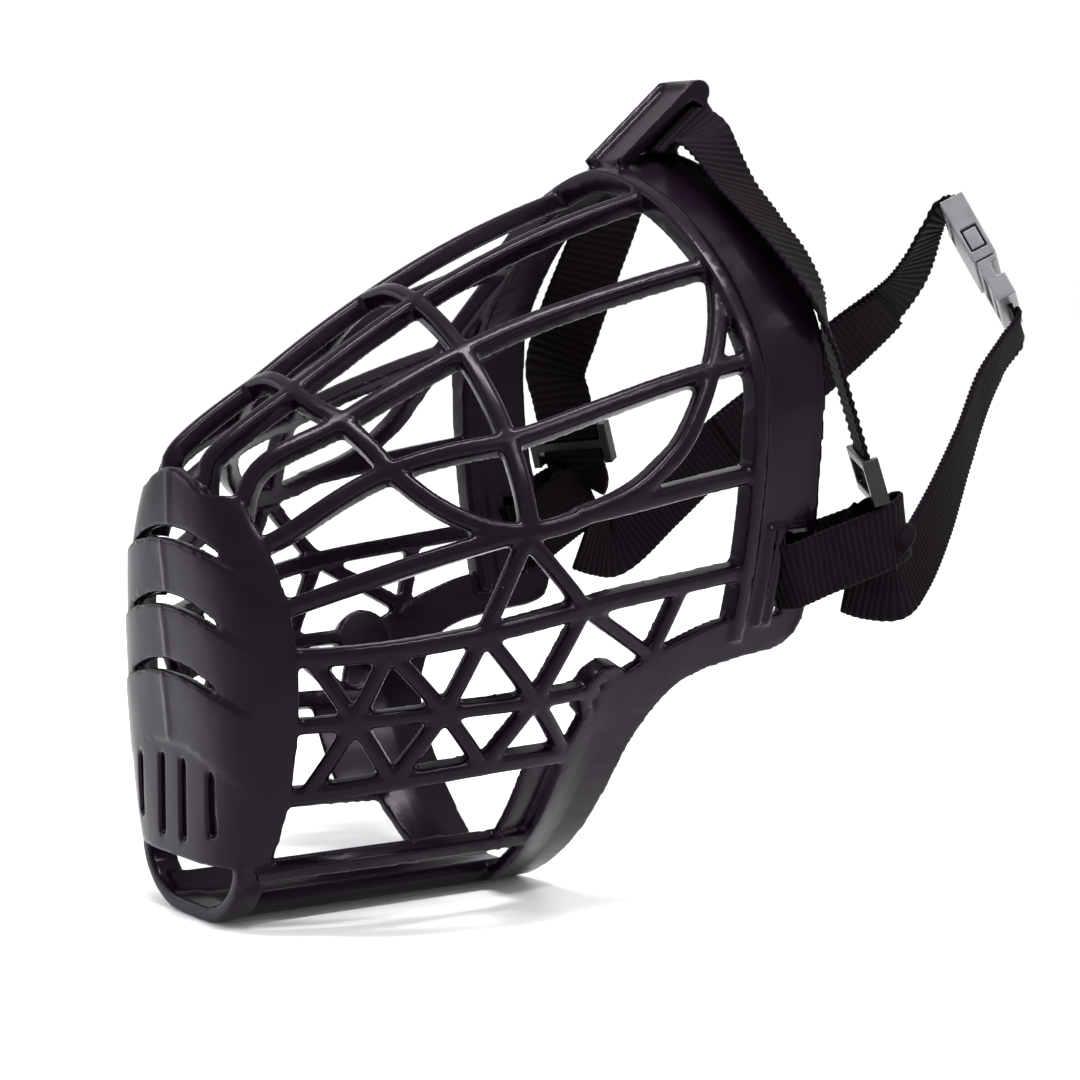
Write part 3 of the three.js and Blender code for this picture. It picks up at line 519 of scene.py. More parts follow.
def rim_band():
    band = rim_shell(lambda z: RIM_FRONT, rim_rear, WALL, 0.0)
    slots = [
        block((s * SLOT_X - 15, SLOT_FRONT, SLOT_LOW), (s * SLOT_X + 15, SLOT_REAR, SLOT_HIGH))
        for s in (1, -1)
    ]
    lip_front, lip_rear = RIM_FRONT - LIP_REACH, RIM_FRONT + LIP_REACH
    lip = rim_shell(lambda z: lip_front, lambda z: lip_rear, LIP_THICK, LIP_LIFT, across=3)
    edge = rim_shell(lambda z: rim_rear(z) - EDGE_WIDTH, rim_rear, WALL, EDGE_LIFT, across=3)
    frames = []
    for s in (1, -1):
        frames += [side_patch(s, *rib) for rib in SLOT_RIBS]
    return [carved(band, slots), lip, edge, *frames]


# ---------------------------------------------------------------- chin band
CHIN_INNER = (
    (101.5, 57.6), (94, 56.2), (87.6, 54.3), (81, 52), (75.6, 49.7), (69, 46.4), (64, 40.5),
    (61.4, 33.7), (60.6, 24.4), (61, 14), (61.6, 8.5), (62, 4.4), (62.3, 1.4),
)
CHIN_OUTER = (
    (117.2, 53.2), (115.4, 50.9), (111.8, 49.5), (105.7, 48.7), (99, 47.8), (92.7, 46.5), (87, 44),
    (82.6, 39.5), (79, 32.4), (77.6, 22.3), (77, 12.7), (76.5, 7.6), (76, 3.8), (75.8, 1.2),
)
CHIN_FLAT = 8.0
BOSS_Y, BOSS_Z, BOSS_RADIUS = 68.0, 44.3, 6.2


def chin_shell():
    inner, outer = curve(CHIN_INNER, 96), curve(CHIN_OUTER, 96)
    left = [[on_side(1, *(a + (b - a) * t)) for t in np.linspace(0, 1, 7)] for a, b in zip(inner, outer)]
    left.append([V(CHIN_FLAT - 2.4, 62.4 + 13.2 * t, 0.05) for t in np.linspace(0, 1, 7)])
    left = np.array(left)
    left[..., 2] = np.maximum(left[..., 2], 0.02)
    right = (left * V(-1, 1, 1))[::-1]
    rows = np.concatenate([left, right])
    out = outward(rows)
    out[95:99] = V(0, 0, -1)
    return loft(np.concatenate([rows, (rows - out * WALL)[:, ::-1]], axis=1))


def on_boss(s):
    centre = on_side(s, BOSS_Y, BOSS_Z)
    out = outward(centre)
    up = unit(V(0, 0, 1) - out * out[2])
    return centre, np.cross(up, out), up


def disc(radius, low, high, steps=40, hole=0.0):
    turns = np.linspace(0, 2 * math.pi, steps, endpoint=False)
    ring = [[V(r * math.cos(t), r * math.sin(t), z) for r, z in
             ((radius, low), (radius, high), (hole, high), (hole, low))] for t in turns]
    return loft(ring, closed=True)


def hook_groove(s):
    """A short curved groove in the boss's face."""
    turns = np.linspace(math.radians(100), math.radians(235), 17)
    rows = []
    for t in turns:
        mid = V(0.9, -0.6) + V(math.cos(t), math.sin(t)) * 3.5
        out = V(math.cos(t), math.sin(t)) * 0.5
        (x0, y0), (x1, y1) = mid - out, mid + out
        rows.append([V(s * x0, y0, -1.3), V(s * x1, y1, -1.3), V(s * x1, y1, 3), V(s * x0, y0, 3)])
    return loft(rows)


def corner_web(s):
    rows = []
    for y in np.linspace(53, 63.4, 6):
        rows.append([on_side(s, y, z) for z in np.linspace(30.5, 14.0, 6)])
    return sheet_solid(rows, 1.4, -2.2)


def chin_band():
    shell, webs, bosses = chin_shell(), [], []
    for s in (1, -1):
        centre, right, up = on_boss(s)
        boss = placed(disc(BOSS_RADIUS, -4.3, 0.1, hole=0.01), centre, right, up)
        groove = placed(hook_groove(s), centre, right, up)
        bosses.append(carved(boss, [groove]))
        shell = carved(shell, [groove])
        webs.append(corner_web(s))
    return [shell, *bosses, *webs]


# ---------------------------------------------------------------- bars
CREST_BAR = ((8.4, -1), (8.8, 8), (9.2, 19.2), (9.8, 33), (10.4, 47), (12.4, 72), (15.6, 101))
SHOULDER_BAR = ((17.4, 1.5), (19.6, 12), (22, 22.9), (25.2, 35), (28, 47.3), (33, 71.4), (38, 101))
HOOP1_REACH = ((5, 19.2), (10, 19.4), (16, 20.6), (22, 22.9), (28.4, 24.8))
HOOP2_HEIGHTS = (95.6, 101, 106)
BROW_BAR = (
    (4.2, 75), (15, 83.4), (26.5, 89.9), (36, 93.2), (47.3, 95.6), (65.4, 101.2), (84, 106.4),
    (101.5, 110.2),
)
WAIST_BAR = ((5, 62.6), (14, 67.4), (23.8, 71.6), (33, 74.8), (41, 77), (47, 78.3))
WAIST_BAR_REAR = ((57, 80.4), (72.7, 82.6), (86, 84.6), (101.5, 86.6))
OVAL = (
    (26.5, 89.9), (30.8, 84.4), (35, 81.2), (40, 79), (46.5, 78.2), (53.5, 79), (61, 81.2),
    (68, 83.4), (73.5, 86.2), (81, 92.6), (86.5, 100.4), (92.3, 110.2), (96.2, 117.6), (100.5, 127.2),
)
UPPER_CHORD = ((5, 53.6), (21.3, 55.7), (38.2, 58.5), (59.8, 62.1), (82.6, 64.6), (101.5, 66.6))
MIDDLE_CHORD = ((5, 40.4), (16.2, 42.1), (31.4, 43.6), (50.5, 44.4), (66, 45))
LOWER_CHORD = ((5, 26.4), (9.5, 27.4), (22.9, 30), (41, 31.8), (52, 32), (66, 31.4))
APEX = (46.2, 76.8)
UPPER_NODES = ((9.6, 54.2), (21.3, 55.7), (38.2, 58.5), (59.8, 62.1))
MIDDLE_NODES = ((16.2, 42.1), (31.4, 43.6), (50.5, 44.4))
LOWER_NODES = ((9.6, 27.5), (23.2, 30), (41, 31.8), (62.5, 31.6))
LOOSE_STRUTS = (((59.8, 62.1), (79, 50.6)), ((84.5, 64.8), (79.4, 51.4)))


def hoops():
    left = [on_roof(x, y) for x, y in HOOP1_REACH] + [on_side(1, 26.5, 89.9)]
    right = [p * V(-1, 1, 1) for p in left[::-1]]
    first = curve(np.array([*right, on_roof(0, 19.1), *left]), 100)
    left = [on_side(1, RING2_Y, z) for z in HOOP2_HEIGHTS] + [on_roof(x, RING2_Y) for x in (30, 22, 14, 7)]
    right = [p * V(-1, 1, 1) for p in left[::-1]]
    second = curve(np.array([*left, on_roof(0, RING2_Y), *right]), 100)
    return [bar(first, sunk=0.05), bar(second, sunk=0.05)]


def side_bars(s):
    ring = np.array([on_side(s, RING2_Y, z) for z in np.linspace(78.2, 96.5, 16)])
    made = [
        roof_bar(s, CREST_BAR), roof_bar(s, SHOULDER_BAR), side_bar(s, BROW_BAR),
        side_bar(s, WAIST_BAR), side_bar(s, WAIST_BAR_REAR), side_bar(s, OVAL, 90),
        bar(ring, sunk=0.05), side_bar(s, UPPER_CHORD), side_bar(s, LOWER_CHORD),
        side_bar(s, MIDDLE_CHORD, width=STRUT_WIDTH, sunk=0.1),
        strut(s, APEX, UPPER_NODES[2]), strut(s, APEX, UPPER_NODES[3]),
    ]
    for i, node in enumerate(MIDDLE_NODES):
        made += [strut(s, end, node) for end in UPPER_NODES[i:i + 2] + LOWER_NODES[i:i + 2]]
    return made + [strut(s, a, b) for a, b in LOOSE_STRUTS] + [lower_rail(s)]


# ---------------------------------------------------------------- forehead bridge
TAB_HALF = 6.2
TAB_LEAN = math.atan2(16.3, 19)
TAB_FOOT = V(0, 103, 149.4)
TAB_LENGTH = 25.0
TAB_ALONG = V(0, math.cos(TAB_LEAN), math.sin(TAB_LEAN))
TAB_UP = V(0, -math.sin(TAB_LEAN), math.cos(TAB_LEAN))


def tab_point(x, along, up):
    return V(x, 0, 0) + TAB_FOOT + TAB_ALONG * along + TAB_UP * up


def tab_block(x0, x1, along0, along1, up0, up1):
    return placed(block((x0, along0, up0), (x1, along1, up1)), TAB_FOOT, V(1, 0, 0), TAB_ALONG)


def forehead_bridge():
    turns = np.linspace(0, 2 * math.pi, 28, endpoint=False)
    curl = [[tab_point(x, TAB_LENGTH - 0.6 + 2.6 * math.cos(t), -1.2 + 2.6 * math.sin(t)) for t in turns]
            for x in (-TAB_HALF, TAB_HALF)]
    made = [tab_block(-TAB_HALF, TAB_HALF, -1, TAB_LENGTH, -1.2, 0.7), loft(curl)]
    for s in (-1, 1):
        low, high = sorted((s * TAB_HALF, s * (TAB_HALF - 1.5)))
        made.append(tab_block(low, high, -2, TAB_LENGTH - 0.5, -1.2, 2.0))
    made.append(tab_block(-TAB_HALF, TAB_HALF, TAB_LENGTH - 2.7, TAB_LENGTH - 0.5, -6.6, -1.2))
    made.append(tab_block(-TAB_HALF, TAB_HALF, TAB_LENGTH - 15.1, TAB_LENGTH - 0.5, -6.6, -4.6))
    return made


# ---------------------------------------------------------------- webbing
def ribbon_frame(entries, steps, closed=False):
    """Centres, width directions and face directions at even steps along a strap's route."""
    centres = curve([e[0] for e in entries], 400, closed)
    widths = curve([unit(e[1]) for e in entries], 400, closed)
    if closed:
        centres = np.vstack([centres, centres[:1]])
        widths = np.vstack([widths, widths[:1]])
    run = np.concatenate([[0], np.cumsum(np.linalg.norm(np.diff(centres, axis=0), axis=1))])
    at = np.linspace(0, run[-1], steps + 1)
    even = lambda rows: np.stack([np.interp(at, run, rows[:, k]) for k in range(3)], axis=1)
    centres, widths = even(centres), even(widths)
    along = unit(np.gradient(centres, axis=0))
    if closed:
        along[0] = along[-1] = unit(centres[1] - centres[-2])
    side = unit(widths - along * np.sum(widths * along, axis=1, keepdims=True))
    return centres, side, np.cross(along, side), at


RIB_DEPTH = 0.3
EDGE_RADIUS = 0.62


def strap_profile():
    """The webbing's outline across: flat faces with rounded, slightly fuller selvedges."""
    across = np.concatenate([np.linspace(-1, -0.9, 3), np.linspace(-0.8, 0.8, 9), np.linspace(0.9, 1, 3)])
    top = []
    for a in across:
        from_edge = (1 - abs(a)) * WEB_WIDTH / 2
        round_off = math.sqrt(max(0.0, 1 - max(0.0, 1 - from_edge / EDGE_RADIUS) ** 2))
        fuller = 1 + 0.12 * math.exp(-((from_edge - 0.9) / 0.6) ** 2)
        top.append((a, max(round_off, 0.12) * fuller))
    return top


def strap(name, entries, pitch, closed=False, lift=0.0, from_share=0.0, to_share=1.0):
    """Ribbed webbing along a route. The UV map holds the count of ribs and the width in mm."""
    rough = curve([e[0] for e in entries], 200, closed)
    length = np.linalg.norm(np.diff(rough, axis=0), axis=1).sum()
    steps = int(length / pitch) * 6
    centres, side, face, at = ribbon_frame(entries, steps, closed)
    first, last = int(steps * from_share), int(steps * to_share)
    keep = slice(first, last + 1)
    centres, side, face, at = centres[keep], side[keep], face[keep], at[keep]
    if closed:
        centres, side, face = centres[:-1], side[:-1], face[:-1]
    top = strap_profile()
    rows, count = [], len(top)
    for i, p in enumerate(centres):
        rib = 0.5 + 0.5 * math.cos(2 * math.pi * at[i] / pitch)
        half = WEB_WIDTH / 2 - 0.14 * (1 - rib)
        thick = WEB_THICK / 2 - RIB_DEPTH * (1 - rib)
        ring = [p + side[i] * a * half + face[i] * (lift + t * thick) for a, t in top]
        ring += [p + side[i] * a * half + face[i] * (lift - t * thick) for a, t in top[::-1]]
        rows.append(ring)
    solid = loft(rows, closed)
    obj = add_object(name, mesh_of(name, solid))
    uv = obj.data.uv_layers.new(name="weave")
    shares = [a for a, _ in top] + [a for a, _ in top[::-1]]
    loops = np.array([loop.vertex_index for loop in obj.data.loops])
    rows_of, cols_of = loops // (2 * count), loops % (2 * count)
    u = at[rows_of] / pitch
    if closed:
        sizes = np.array([len(p.vertices) for p in obj.data.polygons])
        poly = np.repeat(np.arange(len(sizes)), sizes)
        wraps = poly >= (len(centres) - 1) * 2 * count
        u = np.where(wraps & (rows_of == 0), at[-1] / pitch, u)
    v = np.array(shares)[cols_of] * WEB_WIDTH / 2
    uv.data.foreach_set("uv", np.stack([u, v], axis=1).astype(np.float32).ravel())
    facing_out(obj)
    obj.data.shade_smooth()
    return obj


GLIDE_AXIS = unit(V(0.069, 0.309, -0.949))
GLIDE_POINT = V(53, 131.5, 80.5)
GLIDE_WIDTH = V(-0.797, 0.577, -0.169)
GLIDE_WIDTH = unit(GLIDE_WIDTH - GLIDE_AXIS * (GLIDE_WIDTH @ GLIDE_AXIS))
GLIDE_UP = 5.0
MIRROR = V(-1, 1, 1)


def on_glide(up):
    return GLIDE_POINT - GLIDE_AXIS * up


def glide_points(*ups):
    return [(on_glide(up), GLIDE_WIDTH) for up in ups]


BRIDGE_STRAP = tab_point(0, TAB_LENGTH - 11.2, -2.9)
BRIDGE_EXIT = (V(9, BRIDGE_STRAP[1] + 0.4, BRIDGE_STRAP[2] - 0.6), TAB_ALONG)
# The left fall lies on the rim; the right one hangs free, just behind the rim's edge.
LEFT_FALL = [
    BRIDGE_EXIT,
    (V(17.1, 115, 153.6), V(-0.2, 0.92, 0.2)),
    (V(27.3, 115.2, 144.2), V(-0.36, 0.9, 0.05)),
    (V(36.6, 114.6, 137.6), V(-0.42, 0.88, 0)),
    (V(45.2, 115.4, 130.2), V(-0.47, 0.87, 0)),
    (V(51.2, 117.8, 120.4), V(-0.66, 0.74, 0.03)),
    *glide_points(32, 25),
]
RIGHT_FALL = [
    BRIDGE_EXIT,
    (V(20, 120.5, 150.5), V(-0.25, 0.9, 0.35)),
    (V(30, 124.8, 139.5), V(-0.36, 0.93, 0.05)),
    (V(39.5, 125.4, 126), V(-0.45, 0.89, 0)),
    (V(46.5, 124.6, 113), V(-0.65, 0.76, 0)),
    *glide_points(23),
]
IN_LOOP = [
    *glide_points(17, 8, 3, -1.2, -3.2),
    (V(55.5, 131.7, 75.4), V(0.2, 0.97, 0)),
    (V(55.6, 129.6, 73.4), V(0.4, 0.92, 0)),
    (V(54.8, 128.4, 70), V(0.4, 0.92, 0)),
    (V(54, 128, 67), V(0.4, 0.92, 0)),
]
FOREHEAD = [
    *[(p * MIRROR, w * MIRROR) for p, w in (RIGHT_FALL + IN_LOOP)[::-1]],
    (V(-4.5, *BRIDGE_STRAP[1:]), TAB_ALONG),
    (V(4.5, *BRIDGE_STRAP[1:]), TAB_ALONG),
    *LEFT_FALL,
    *IN_LOOP,
]
LOOP_PATH = (
    (52.8, 111), (54.6, 118), (57, 125), (58.3, 130.6), (57.8, 134.4), (56, 136.6), (53.8, 135.4),
    (51.6, 131.6), (49, 125), (46.2, 118.5), (44, 112.5), (46.2, 110.2), (50.6, 110),
)
LOOP_SLOPE = 0.36
LOOP_Z = (SLOT_LOW + SLOT_HIGH) / 2
LOOP_PIVOT_Y = 111
BUCKLE_AXIS = unit(V(0.583, 0.096, -0.806))
BUCKLE_WIDTH = V(-0.61, 0.707, -0.358)
BUCKLE_WIDTH = unit(BUCKLE_WIDTH - BUCKLE_AXIS * (BUCKLE_WIDTH @ BUCKLE_AXIS))
BUCKLE_FACE = np.cross(BUCKLE_WIDTH, BUCKLE_AXIS)
BUCKLE_CENTRE = V(2, 208.3, 127.6)


def on_buckle(x, y, z):
    return BUCKLE_CENTRE + BUCKLE_WIDTH * x + BUCKLE_AXIS * y + BUCKLE_FACE * z


def neck_end(s):
    return [
        (V(s * 49.6, 140.6, 61.2), V(0, 0.45, -0.88)),
        (V(s * 48.4, 134.5, 61.8), V(0, -0.05, -1)),
        (V(s * 47.2, 129.4, 63.4), V(0, -0.7, -0.72)),
    ]


NECK_LEFT = [
    (on_buckle(0, 14.6, 0), BUCKLE_WIDTH),
    (on_buckle(0, 18, 0), BUCKLE_WIDTH),
    (V(16, 201.6, 106.4), V(-0.6, 0.66, -0.44)),
    (V(21.5, 190.2, 98), V(-0.5, 0.66, -0.56)),
    (V(28.5, 178.5, 87), V(-0.45, 0.66, -0.6)),
    (V(38.5, 162.4, 74.2), V(-0.25, 0.68, -0.68)),
    (V(46.6, 148, 64.8), V(-0.05, 0.6, -0.8)),
    *neck_end(1),
]
NECK_RIGHT = [
    (on_buckle(0, -15, -1.2), BUCKLE_WIDTH),
    (on_buckle(0, -15.8, 0.6), BUCKLE_WIDTH),
    (on_buckle(0, -15.6, 3), BUCKLE_WIDTH),
    (on_buckle(1.5, -13.6, 6.8), BUCKLE_WIDTH),
    (V(-19.5, 202.4, 121.5), V(-0.4, 0.78, -0.45)),
    (V(-28, 192.3, 108.8), V(-0.15, 0.72, -0.66)),
    (V(-36, 180.6, 96.6), V(-0.1, 0.68, -0.7)),
    (V(-42.4, 167.1, 84.8), V(-0.05, 0.66, -0.74)),
    (V(-47.4, 152, 70.6), V(0, 0.62, -0.78)),
    *neck_end(-1),
]


# ---------------------------------------------------------------- hardware
def glide_solids():
    width, length, rail, cross, thick = 20.0, 9.6, 1.9, 2.0, 1.0
    off = WEB_THICK / 2 + 0.05 + thick / 2
    ends = (length - cross) / 2
    deep = off + thick / 2
    made = []
    for s in (-1, 1):
        low, high = sorted((s * width / 2, s * (width / 2 - rail)))
        made.append(block((low, -length / 2, -deep), (high, length / 2, deep)))
        near, far = s * ends - cross / 2, s * ends + cross / 2
        made.append(block((-width / 2, near, off - thick / 2), (width / 2, far, deep)))
    made.append(block((-width / 2, -cross / 2, -deep), (width / 2, cross / 2, -off + thick / 2)))
    return made


SOCKET_BACK, SOCKET_FRONT, PLUG_END = -14.0, 3.0, 14.0
HALF, THICK, SHELL = 10.5, 5.8, 1.15


def socket_solids():
    body = block((-HALF, SOCKET_BACK, -THICK / 2), (HALF, SOCKET_FRONT, THICK / 2))
    tools = [block((-HALF + SHELL, -8.4, -THICK / 2 + SHELL), (HALF - SHELL, 10, THICK / 2 - SHELL))]
    body = carved(body, tools)
    windows = [
        block((-HALF - 1, -5.6, -2), (-HALF + 2.4, 0.6, 2)),
        block((HALF - 2.4, -5.6, -2), (HALF + 1, 0.6, 2)),
    ]
    webbing_slot = block((-8, -12, -5), (8, -9.6, 5))
    return [carved(body, [*windows, webbing_slot])]


def plug_solids():
    base = block((-HALF, 3.4, -2.3), (HALF, PLUG_END, 2.3))
    gap, slot = block((-8.9, 4.8, -5), (8.9, 8.6, 5)), block((-8, 10.2, -5), (8, 12, 5))
    neck = block((-HALF - 1, 4.8, -3), (HALF + 1, 8.4, -0.4))
    base = carved(base, [gap, slot, neck])
    tongue = block((-2.2, -7.6, -1.4), (2.2, 4, 1.4))
    tongue_root = block((-2.2, 3.6, -1.2), (2.2, 9, 1.2))
    return [base, tongue, tongue_root]


def arm_solids(s):
    low, high = sorted((s * 6.5, s * 8.7))
    barb_low, barb_high = sorted((s * 8.0, s * 10.2))
    return [block((low, -6.7, -1.6), (high, 3.1, 1.6)), block((barb_low, -5, -1.6), (barb_high, 0, 1.6))]


# ---------------------------------------------------------------- materials
def nodes_of(name):
    material = bpy.data.materials.new(name)
    material.use_nodes = True
    tree = material.node_tree
    return material, tree, tree.nodes["Principled BSDF"]


def link(tree, a, b):
    tree.links.new(a, b)


def noise(tree, scale, detail=2.0, rough=0.5, vector=None):
    node = tree.nodes.new("ShaderNodeTexNoise")
    node.inputs["Scale"].default_value = scale
    node.inputs["Detail"].default_value = detail
    node.inputs["Roughness"].default_value = rough
    if vector is not None:
        link(tree, vector, node.inputs["Vector"])
    return node


def ramp(tree, factor, low, high, at=(0.3, 0.7)):
    node = tree.nodes.new("ShaderNodeValToRGB")
    node.color_ramp.elements[0].position, node.color_ramp.elements[1].position = at
    node.color_ramp.elements[0].color = (*low, 1)
    node.color_ramp.elements[1].color = (*high, 1)
    link(tree, factor, node.inputs["Fac"])
    return node.outputs["Color"]


def spread(tree, factor, low, high):
    node = tree.nodes.new("ShaderNodeMapRange")
    node.inputs["To Min"].default_value = low
    node.inputs["To Max"].default_value = high
    link(tree, factor, node.inputs["Value"])
    return node.outputs["Result"]


def bump(tree, height, strength, distance, normal=None):
    node = tree.nodes.new("ShaderNodeBump")
    node.inputs["Strength"].default_value = strength
    node.inputs["Distance"].default_value = distance
    link(tree, height, node.inputs["Height"])
    if normal is not None:
        link(tree, normal, node.inputs["Normal"])
    return node.outputs["Normal"]


def plastic_material():
    """Glossy black polypropylene: faint flow marks, fine orange peel and a few dull patches."""
    material, tree, shader = nodes_of("cage_plastic")
    place = tree.nodes.new("ShaderNodeTexCoord").outputs["Object"]
    flow = noise(tree, 45, 3, 0.55, place)
    peel = noise(tree, 900, 2, 0.5, place)
    wave = noise(tree, 110, 1, 0.5, place)
    colour = ramp(tree, flow.outputs["Fac"], (0.0028, 0.0012, 0.003), (0.005, 0.0024, 0.0055))
    link(tree, colour, shader.inputs["Base Color"])
    link(tree, spread(tree, flow.outputs["Fac"], 0.16, 0.3), shader.inputs["Roughness"])
    rough = bump(tree, wave.outputs["Fac"], 0.25, 0.0006)
    link(tree, bump(tree, peel.outputs["Fac"], 0.1, 0.00008, rough), shader.inputs["Normal"])
    shader.inputs["Specular IOR Level"].default_value = 0.1
    shader.inputs["Specular Tint"].default_value = (0.9, 0.78, 0.95, 1)
    return material


def webbing_material():
    """Black nylon webbing: painted shade darkens the grooves between its ribs, painted highlights lighten
    their crowns, and the yarns run aslant.
    """
    material, tree, shader = nodes_of("webbing_nylon")
    uv = tree.nodes.new("ShaderNodeUVMap")
    uv.uv_map = "weave"
    yarn = tree.nodes.new("ShaderNodeTexWave")
    yarn.wave_type, yarn.bands_direction = "BANDS", "Y"
    yarn.inputs["Scale"].default_value = 0.42
    yarn.inputs["Distortion"].default_value = 0.8
    link(tree, uv.outputs["UV"], yarn.inputs["Vector"])
    split = tree.nodes.new("ShaderNodeSeparateXYZ")
    link(tree, uv.outputs["UV"], split.inputs["Vector"])
    turn = tree.nodes.new("ShaderNodeMath")
    turn.operation = "MULTIPLY"
    turn.inputs[1].default_value = 2 * math.pi
    link(tree, split.outputs["X"], turn.inputs[0])
    rib = tree.nodes.new("ShaderNodeMath")
    rib.operation = "COSINE"
    link(tree, turn.outputs["Value"], rib.inputs[0])
    fuzz = noise(tree, 2.2, 3, 0.6, uv.outputs["UV"])
    height = tree.nodes.new("ShaderNodeMath")
    height.operation = "MULTIPLY"
    link(tree, yarn.outputs["Fac"], height.inputs[0])
    link(tree, fuzz.outputs["Fac"], height.inputs[1])
    shade = tree.nodes.new("ShaderNodeMath")
    shade.operation = "MULTIPLY_ADD"
    shade.inputs[1].default_value = 0.35
    link(tree, rib.outputs["Value"], shade.inputs[0])
    link(tree, fuzz.outputs["Fac"], shade.inputs[2])
    # Painted shade for the rib grooves and painted highlight for the rib crowns, following the rib cosine;
    # the noise adds random tone.
    groove, painted_crown_light = (0.0003, 0.0002, 0.0003), (0.0026, 0.0015, 0.0026)
    colour = ramp(tree, shade.outputs["Value"], groove, painted_crown_light, (0.15, 0.85))
    link(tree, colour, shader.inputs["Base Color"])
    link(tree, spread(tree, fuzz.outputs["Fac"], 0.5, 0.8), shader.inputs["Roughness"])
    link(tree, bump(tree, height.outputs["Value"], 0.5, 0.00015), shader.inputs["Normal"])
    shader.inputs["Specular IOR Level"].default_value = 0.06
    shader.inputs["Specular Tint"].default_value = (0.92, 0.72, 0.94, 1)
    return material


def hardware_material(name, low, high, shine):
    material, tree, shader = nodes_of(name)
    place = tree.nodes.new("ShaderNodeTexCoord").outputs["Object"]
    flow = noise(tree, 160, 3, 0.55, place)
    peel = noise(tree, 1400, 2, 0.5, place)
    link(tree, ramp(tree, flow.outputs["Fac"], low, high), shader.inputs["Base Color"])
    link(tree, spread(tree, flow.outputs["Fac"], 0.24, 0.4), shader.inputs["Roughness"])
    link(tree, bump(tree, peel.outputs["Fac"], 0.15, 0.00006), shader.inputs["Normal"])
    shader.inputs["Specular IOR Level"].default_value = shine
    return material


# ---------------------------------------------------------------- assembly
PLASTIC = plastic_material()
WEBBING = webbing_material()
BUCKLE_GREY = hardware_material("buckle_plastic", (0.085, 0.083, 0.09), (0.13, 0.128, 0.135), 0.45)
GLIDE_GREY = hardware_material("glide_plastic", (0.004, 0.003, 0.0045), (0.008, 0.007, 0.009), 0.22)


def finish_piece(obj, body, nodes, material):
    obj.data.materials.clear()
    obj.data.materials.append(material)
    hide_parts(*nodes)
    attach(obj, body)


CAGE_NODES = [
    "nose_guard", "front_loop", "rim_band", "chin_band", "roof_grille", "forehead_bridge", "bottom_strip",
]
for side_name in ("left", "right"):
    CAGE_NODES += [f"cheek_grille_{side_name}", f"truss_panel_{side_name}", f"lower_rail_{side_name}"]

cage_solids = [nose_plate(), front_loop(), bottom_strip(), *rim_band(), *chin_band(), *hoops()]
cage_solids += [*side_bars(1), *side_bars(-1), *forehead_bridge()]
cage = moulded("cage", cage_solids, VOXEL, 4, CAGE_FACES)
finish_piece(cage, "basket", CAGE_NODES, PLASTIC)

forehead = strap("head_webbing", FOREHEAD, 1.9)
finish_piece(forehead, "basket", ["forehead_strap"], WEBBING)
right_neck = strap("neck_webbing_right", NECK_RIGHT, 1.4)
finish_piece(right_neck, "basket", ["neck_strap_right"], WEBBING)
tail = strap("webbing_tail", NECK_RIGHT, 1.4, lift=WEB_THICK + 0.3, from_share=0.24, to_share=0.62)
finish_piece(tail, "basket", ["strap_tail"], WEBBING)
left_neck = strap("neck_webbing_left", NECK_LEFT, 1.4)
left_neck.data.materials.append(WEBBING)
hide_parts("neck_strap_left")
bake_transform(left_neck)

for s, side_name in ((1, "left"), (-1, "right")):
    sign = V(s, 1, 1)
    loop_width = V(s * 0.22, -LOOP_SLOPE, 0.95)
    loop_route = [(V(s * x, y, LOOP_Z + LOOP_SLOPE * (y - LOOP_PIVOT_Y)), loop_width) for x, y in LOOP_PATH]
    loop = strap(f"cheek_webbing_{side_name}", loop_route, 1.4, closed=True)
    finish_piece(loop, "basket", [f"cheek_loop_{side_name}"], WEBBING)
    glide_frame = (on_glide(GLIDE_UP) * sign, GLIDE_WIDTH * sign, GLIDE_AXIS * sign)
    solids = [placed(part, *glide_frame) for part in glide_solids()]
    glide = moulded(f"slide_{side_name}", solids, 0.16, 3)
    finish_piece(glide, f"glide_{side_name}", [f"tri_glide_{side_name}"], GLIDE_GREY)
    solids = [placed(part, BUCKLE_CENTRE, BUCKLE_WIDTH, BUCKLE_AXIS) for part in arm_solids(s)]
    arm = moulded(f"springy_arm_{side_name}", solids, 0.16, 3)
    finish_piece(arm, f"arm_{side_name}", [f"buckle_arm_{side_name}"], BUCKLE_GREY)

for name, made, body, node in (
    ("socket_half", socket_solids(), "basket", "buckle_socket"),
    ("plug_half", plug_solids(), "plug", "buckle_plug"),
):
    solids = [placed(part, BUCKLE_CENTRE, BUCKLE_WIDTH, BUCKLE_AXIS) for part in made]
    half = moulded(name, solids, 0.18, 3)
    finish_piece(half, body, [node], BUCKLE_GREY)

# ---------------------------------------------------------------- stage, light and camera
TARGET = Vector((0, 84.7, 69.8)) * MM
AZIMUTH, ELEVATION, DISTANCE = math.radians(55.4), math.radians(5.9), 0.623
LENS = 98.3


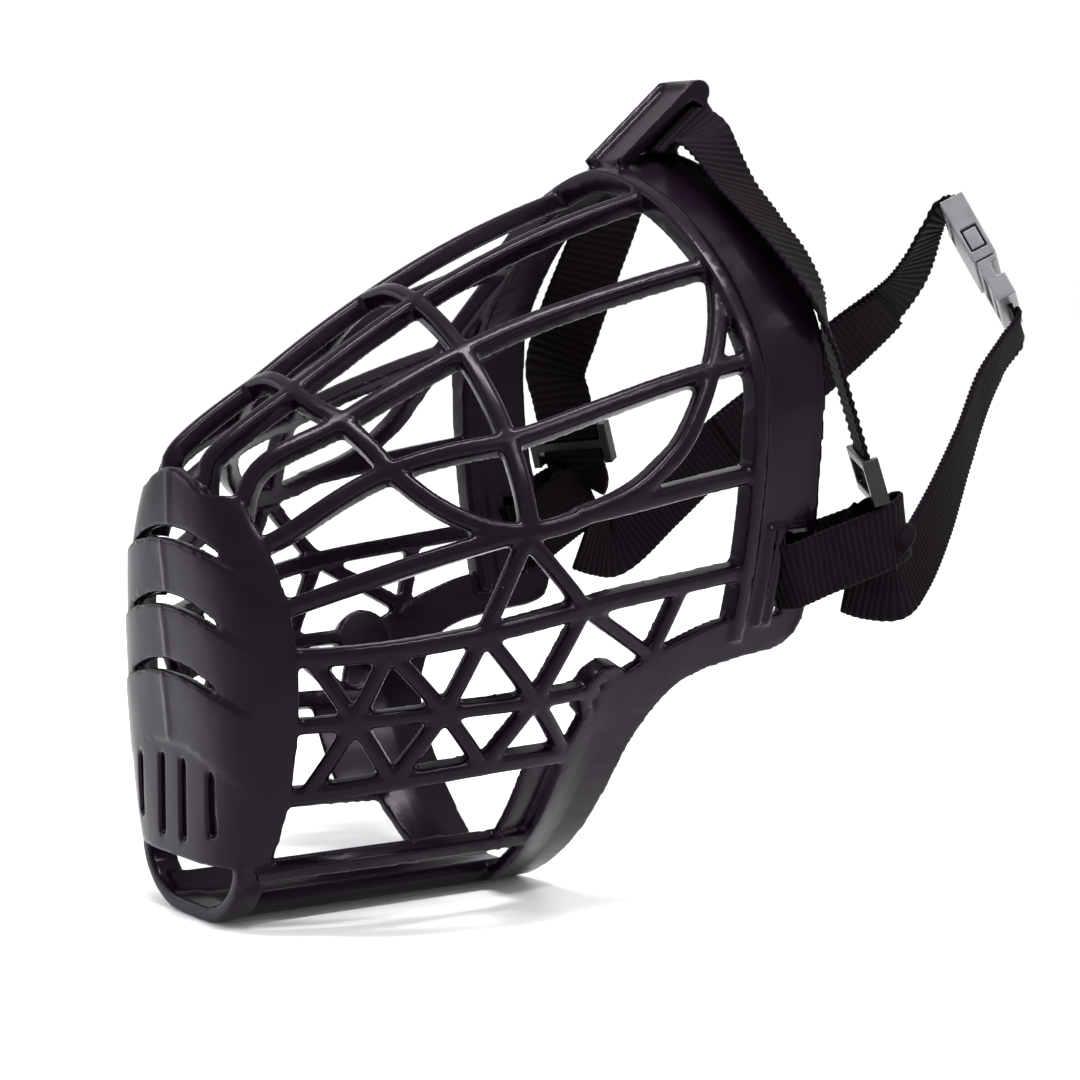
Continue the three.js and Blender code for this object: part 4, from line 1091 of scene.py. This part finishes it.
def stage():
    mesh = bpy.data.meshes.new("floor")
    size = 40.0
    corners = [(-size, -size, 0), (size, -size, 0), (size, size, 0), (-size, size, 0)]
    mesh.from_pydata(corners, [], [(0, 1, 2, 3)])
    floor = add_object("floor", mesh)
    material, tree, shader = nodes_of("pale_floor")
    place = tree.nodes.new("ShaderNodeTexCoord").outputs["Object"]
    grain = noise(tree, 30, 2, 0.5, place)
    colour = ramp(tree, grain.outputs["Fac"], (0.93, 0.925, 0.94), (0.95, 0.945, 0.955))
    link(tree, colour, shader.inputs["Base Color"])
    shader.inputs["Roughness"].default_value = 0.35
    mesh.materials.append(material)


def soft_light(name, place, aim, size, watts, colour=(1, 1, 1)):
    light = bpy.data.lights.new(name, "AREA")
    light.color = colour
    light.shape = "RECTANGLE"
    light.size, light.size_y = size
    light.energy = watts
    obj = bpy.data.objects.new(name, light)
    bpy.context.scene.collection.objects.link(obj)
    obj.location = Vector(place)
    obj.rotation_mode = "QUATERNION"
    obj.rotation_quaternion = (Vector(aim) - Vector(place)).to_track_quat("-Z", "Y")


def lighting():
    world = bpy.data.worlds.new("studio")
    world.use_nodes = True
    world.node_tree.nodes["Background"].inputs["Color"].default_value = (1.0, 0.995, 1.0, 1)
    world.node_tree.nodes["Background"].inputs["Strength"].default_value = 1.06
    bpy.context.scene.world = world
    soft_light("overhead", (0.12, 0.02, 0.9), (0, 0.08, 0.06), (0.5, 0.06), 11)
    soft_light("high_side", (0.55, 0.1, 0.75), (0, 0.08, 0.07), (0.4, 0.05), 3.6)
    soft_light("nose_side", (-0.62, -0.5, 0.3), (0, 0.0, 0.06), (0.4, 0.4), 1.5, (0.86, 0.82, 1.0))


def camera():
    data = bpy.data.cameras.new("camera")
    data.lens = LENS
    data.sensor_width = 36
    data.clip_start = 0.01
    obj = bpy.data.objects.new("camera", data)
    bpy.context.scene.collection.objects.link(obj)
    back = Vector((
        math.sin(AZIMUTH) * math.cos(ELEVATION),
        -math.cos(AZIMUTH) * math.cos(ELEVATION),
        math.sin(ELEVATION),
    ))
    obj.location = TARGET + back * DISTANCE
    obj.rotation_mode = "QUATERNION"
    obj.rotation_quaternion = (-back).to_track_quat("-Z", "Y")
    bpy.context.scene.camera = obj


stage()
lighting()
camera()
bpy.context.scene.view_settings.view_transform = "Standard"
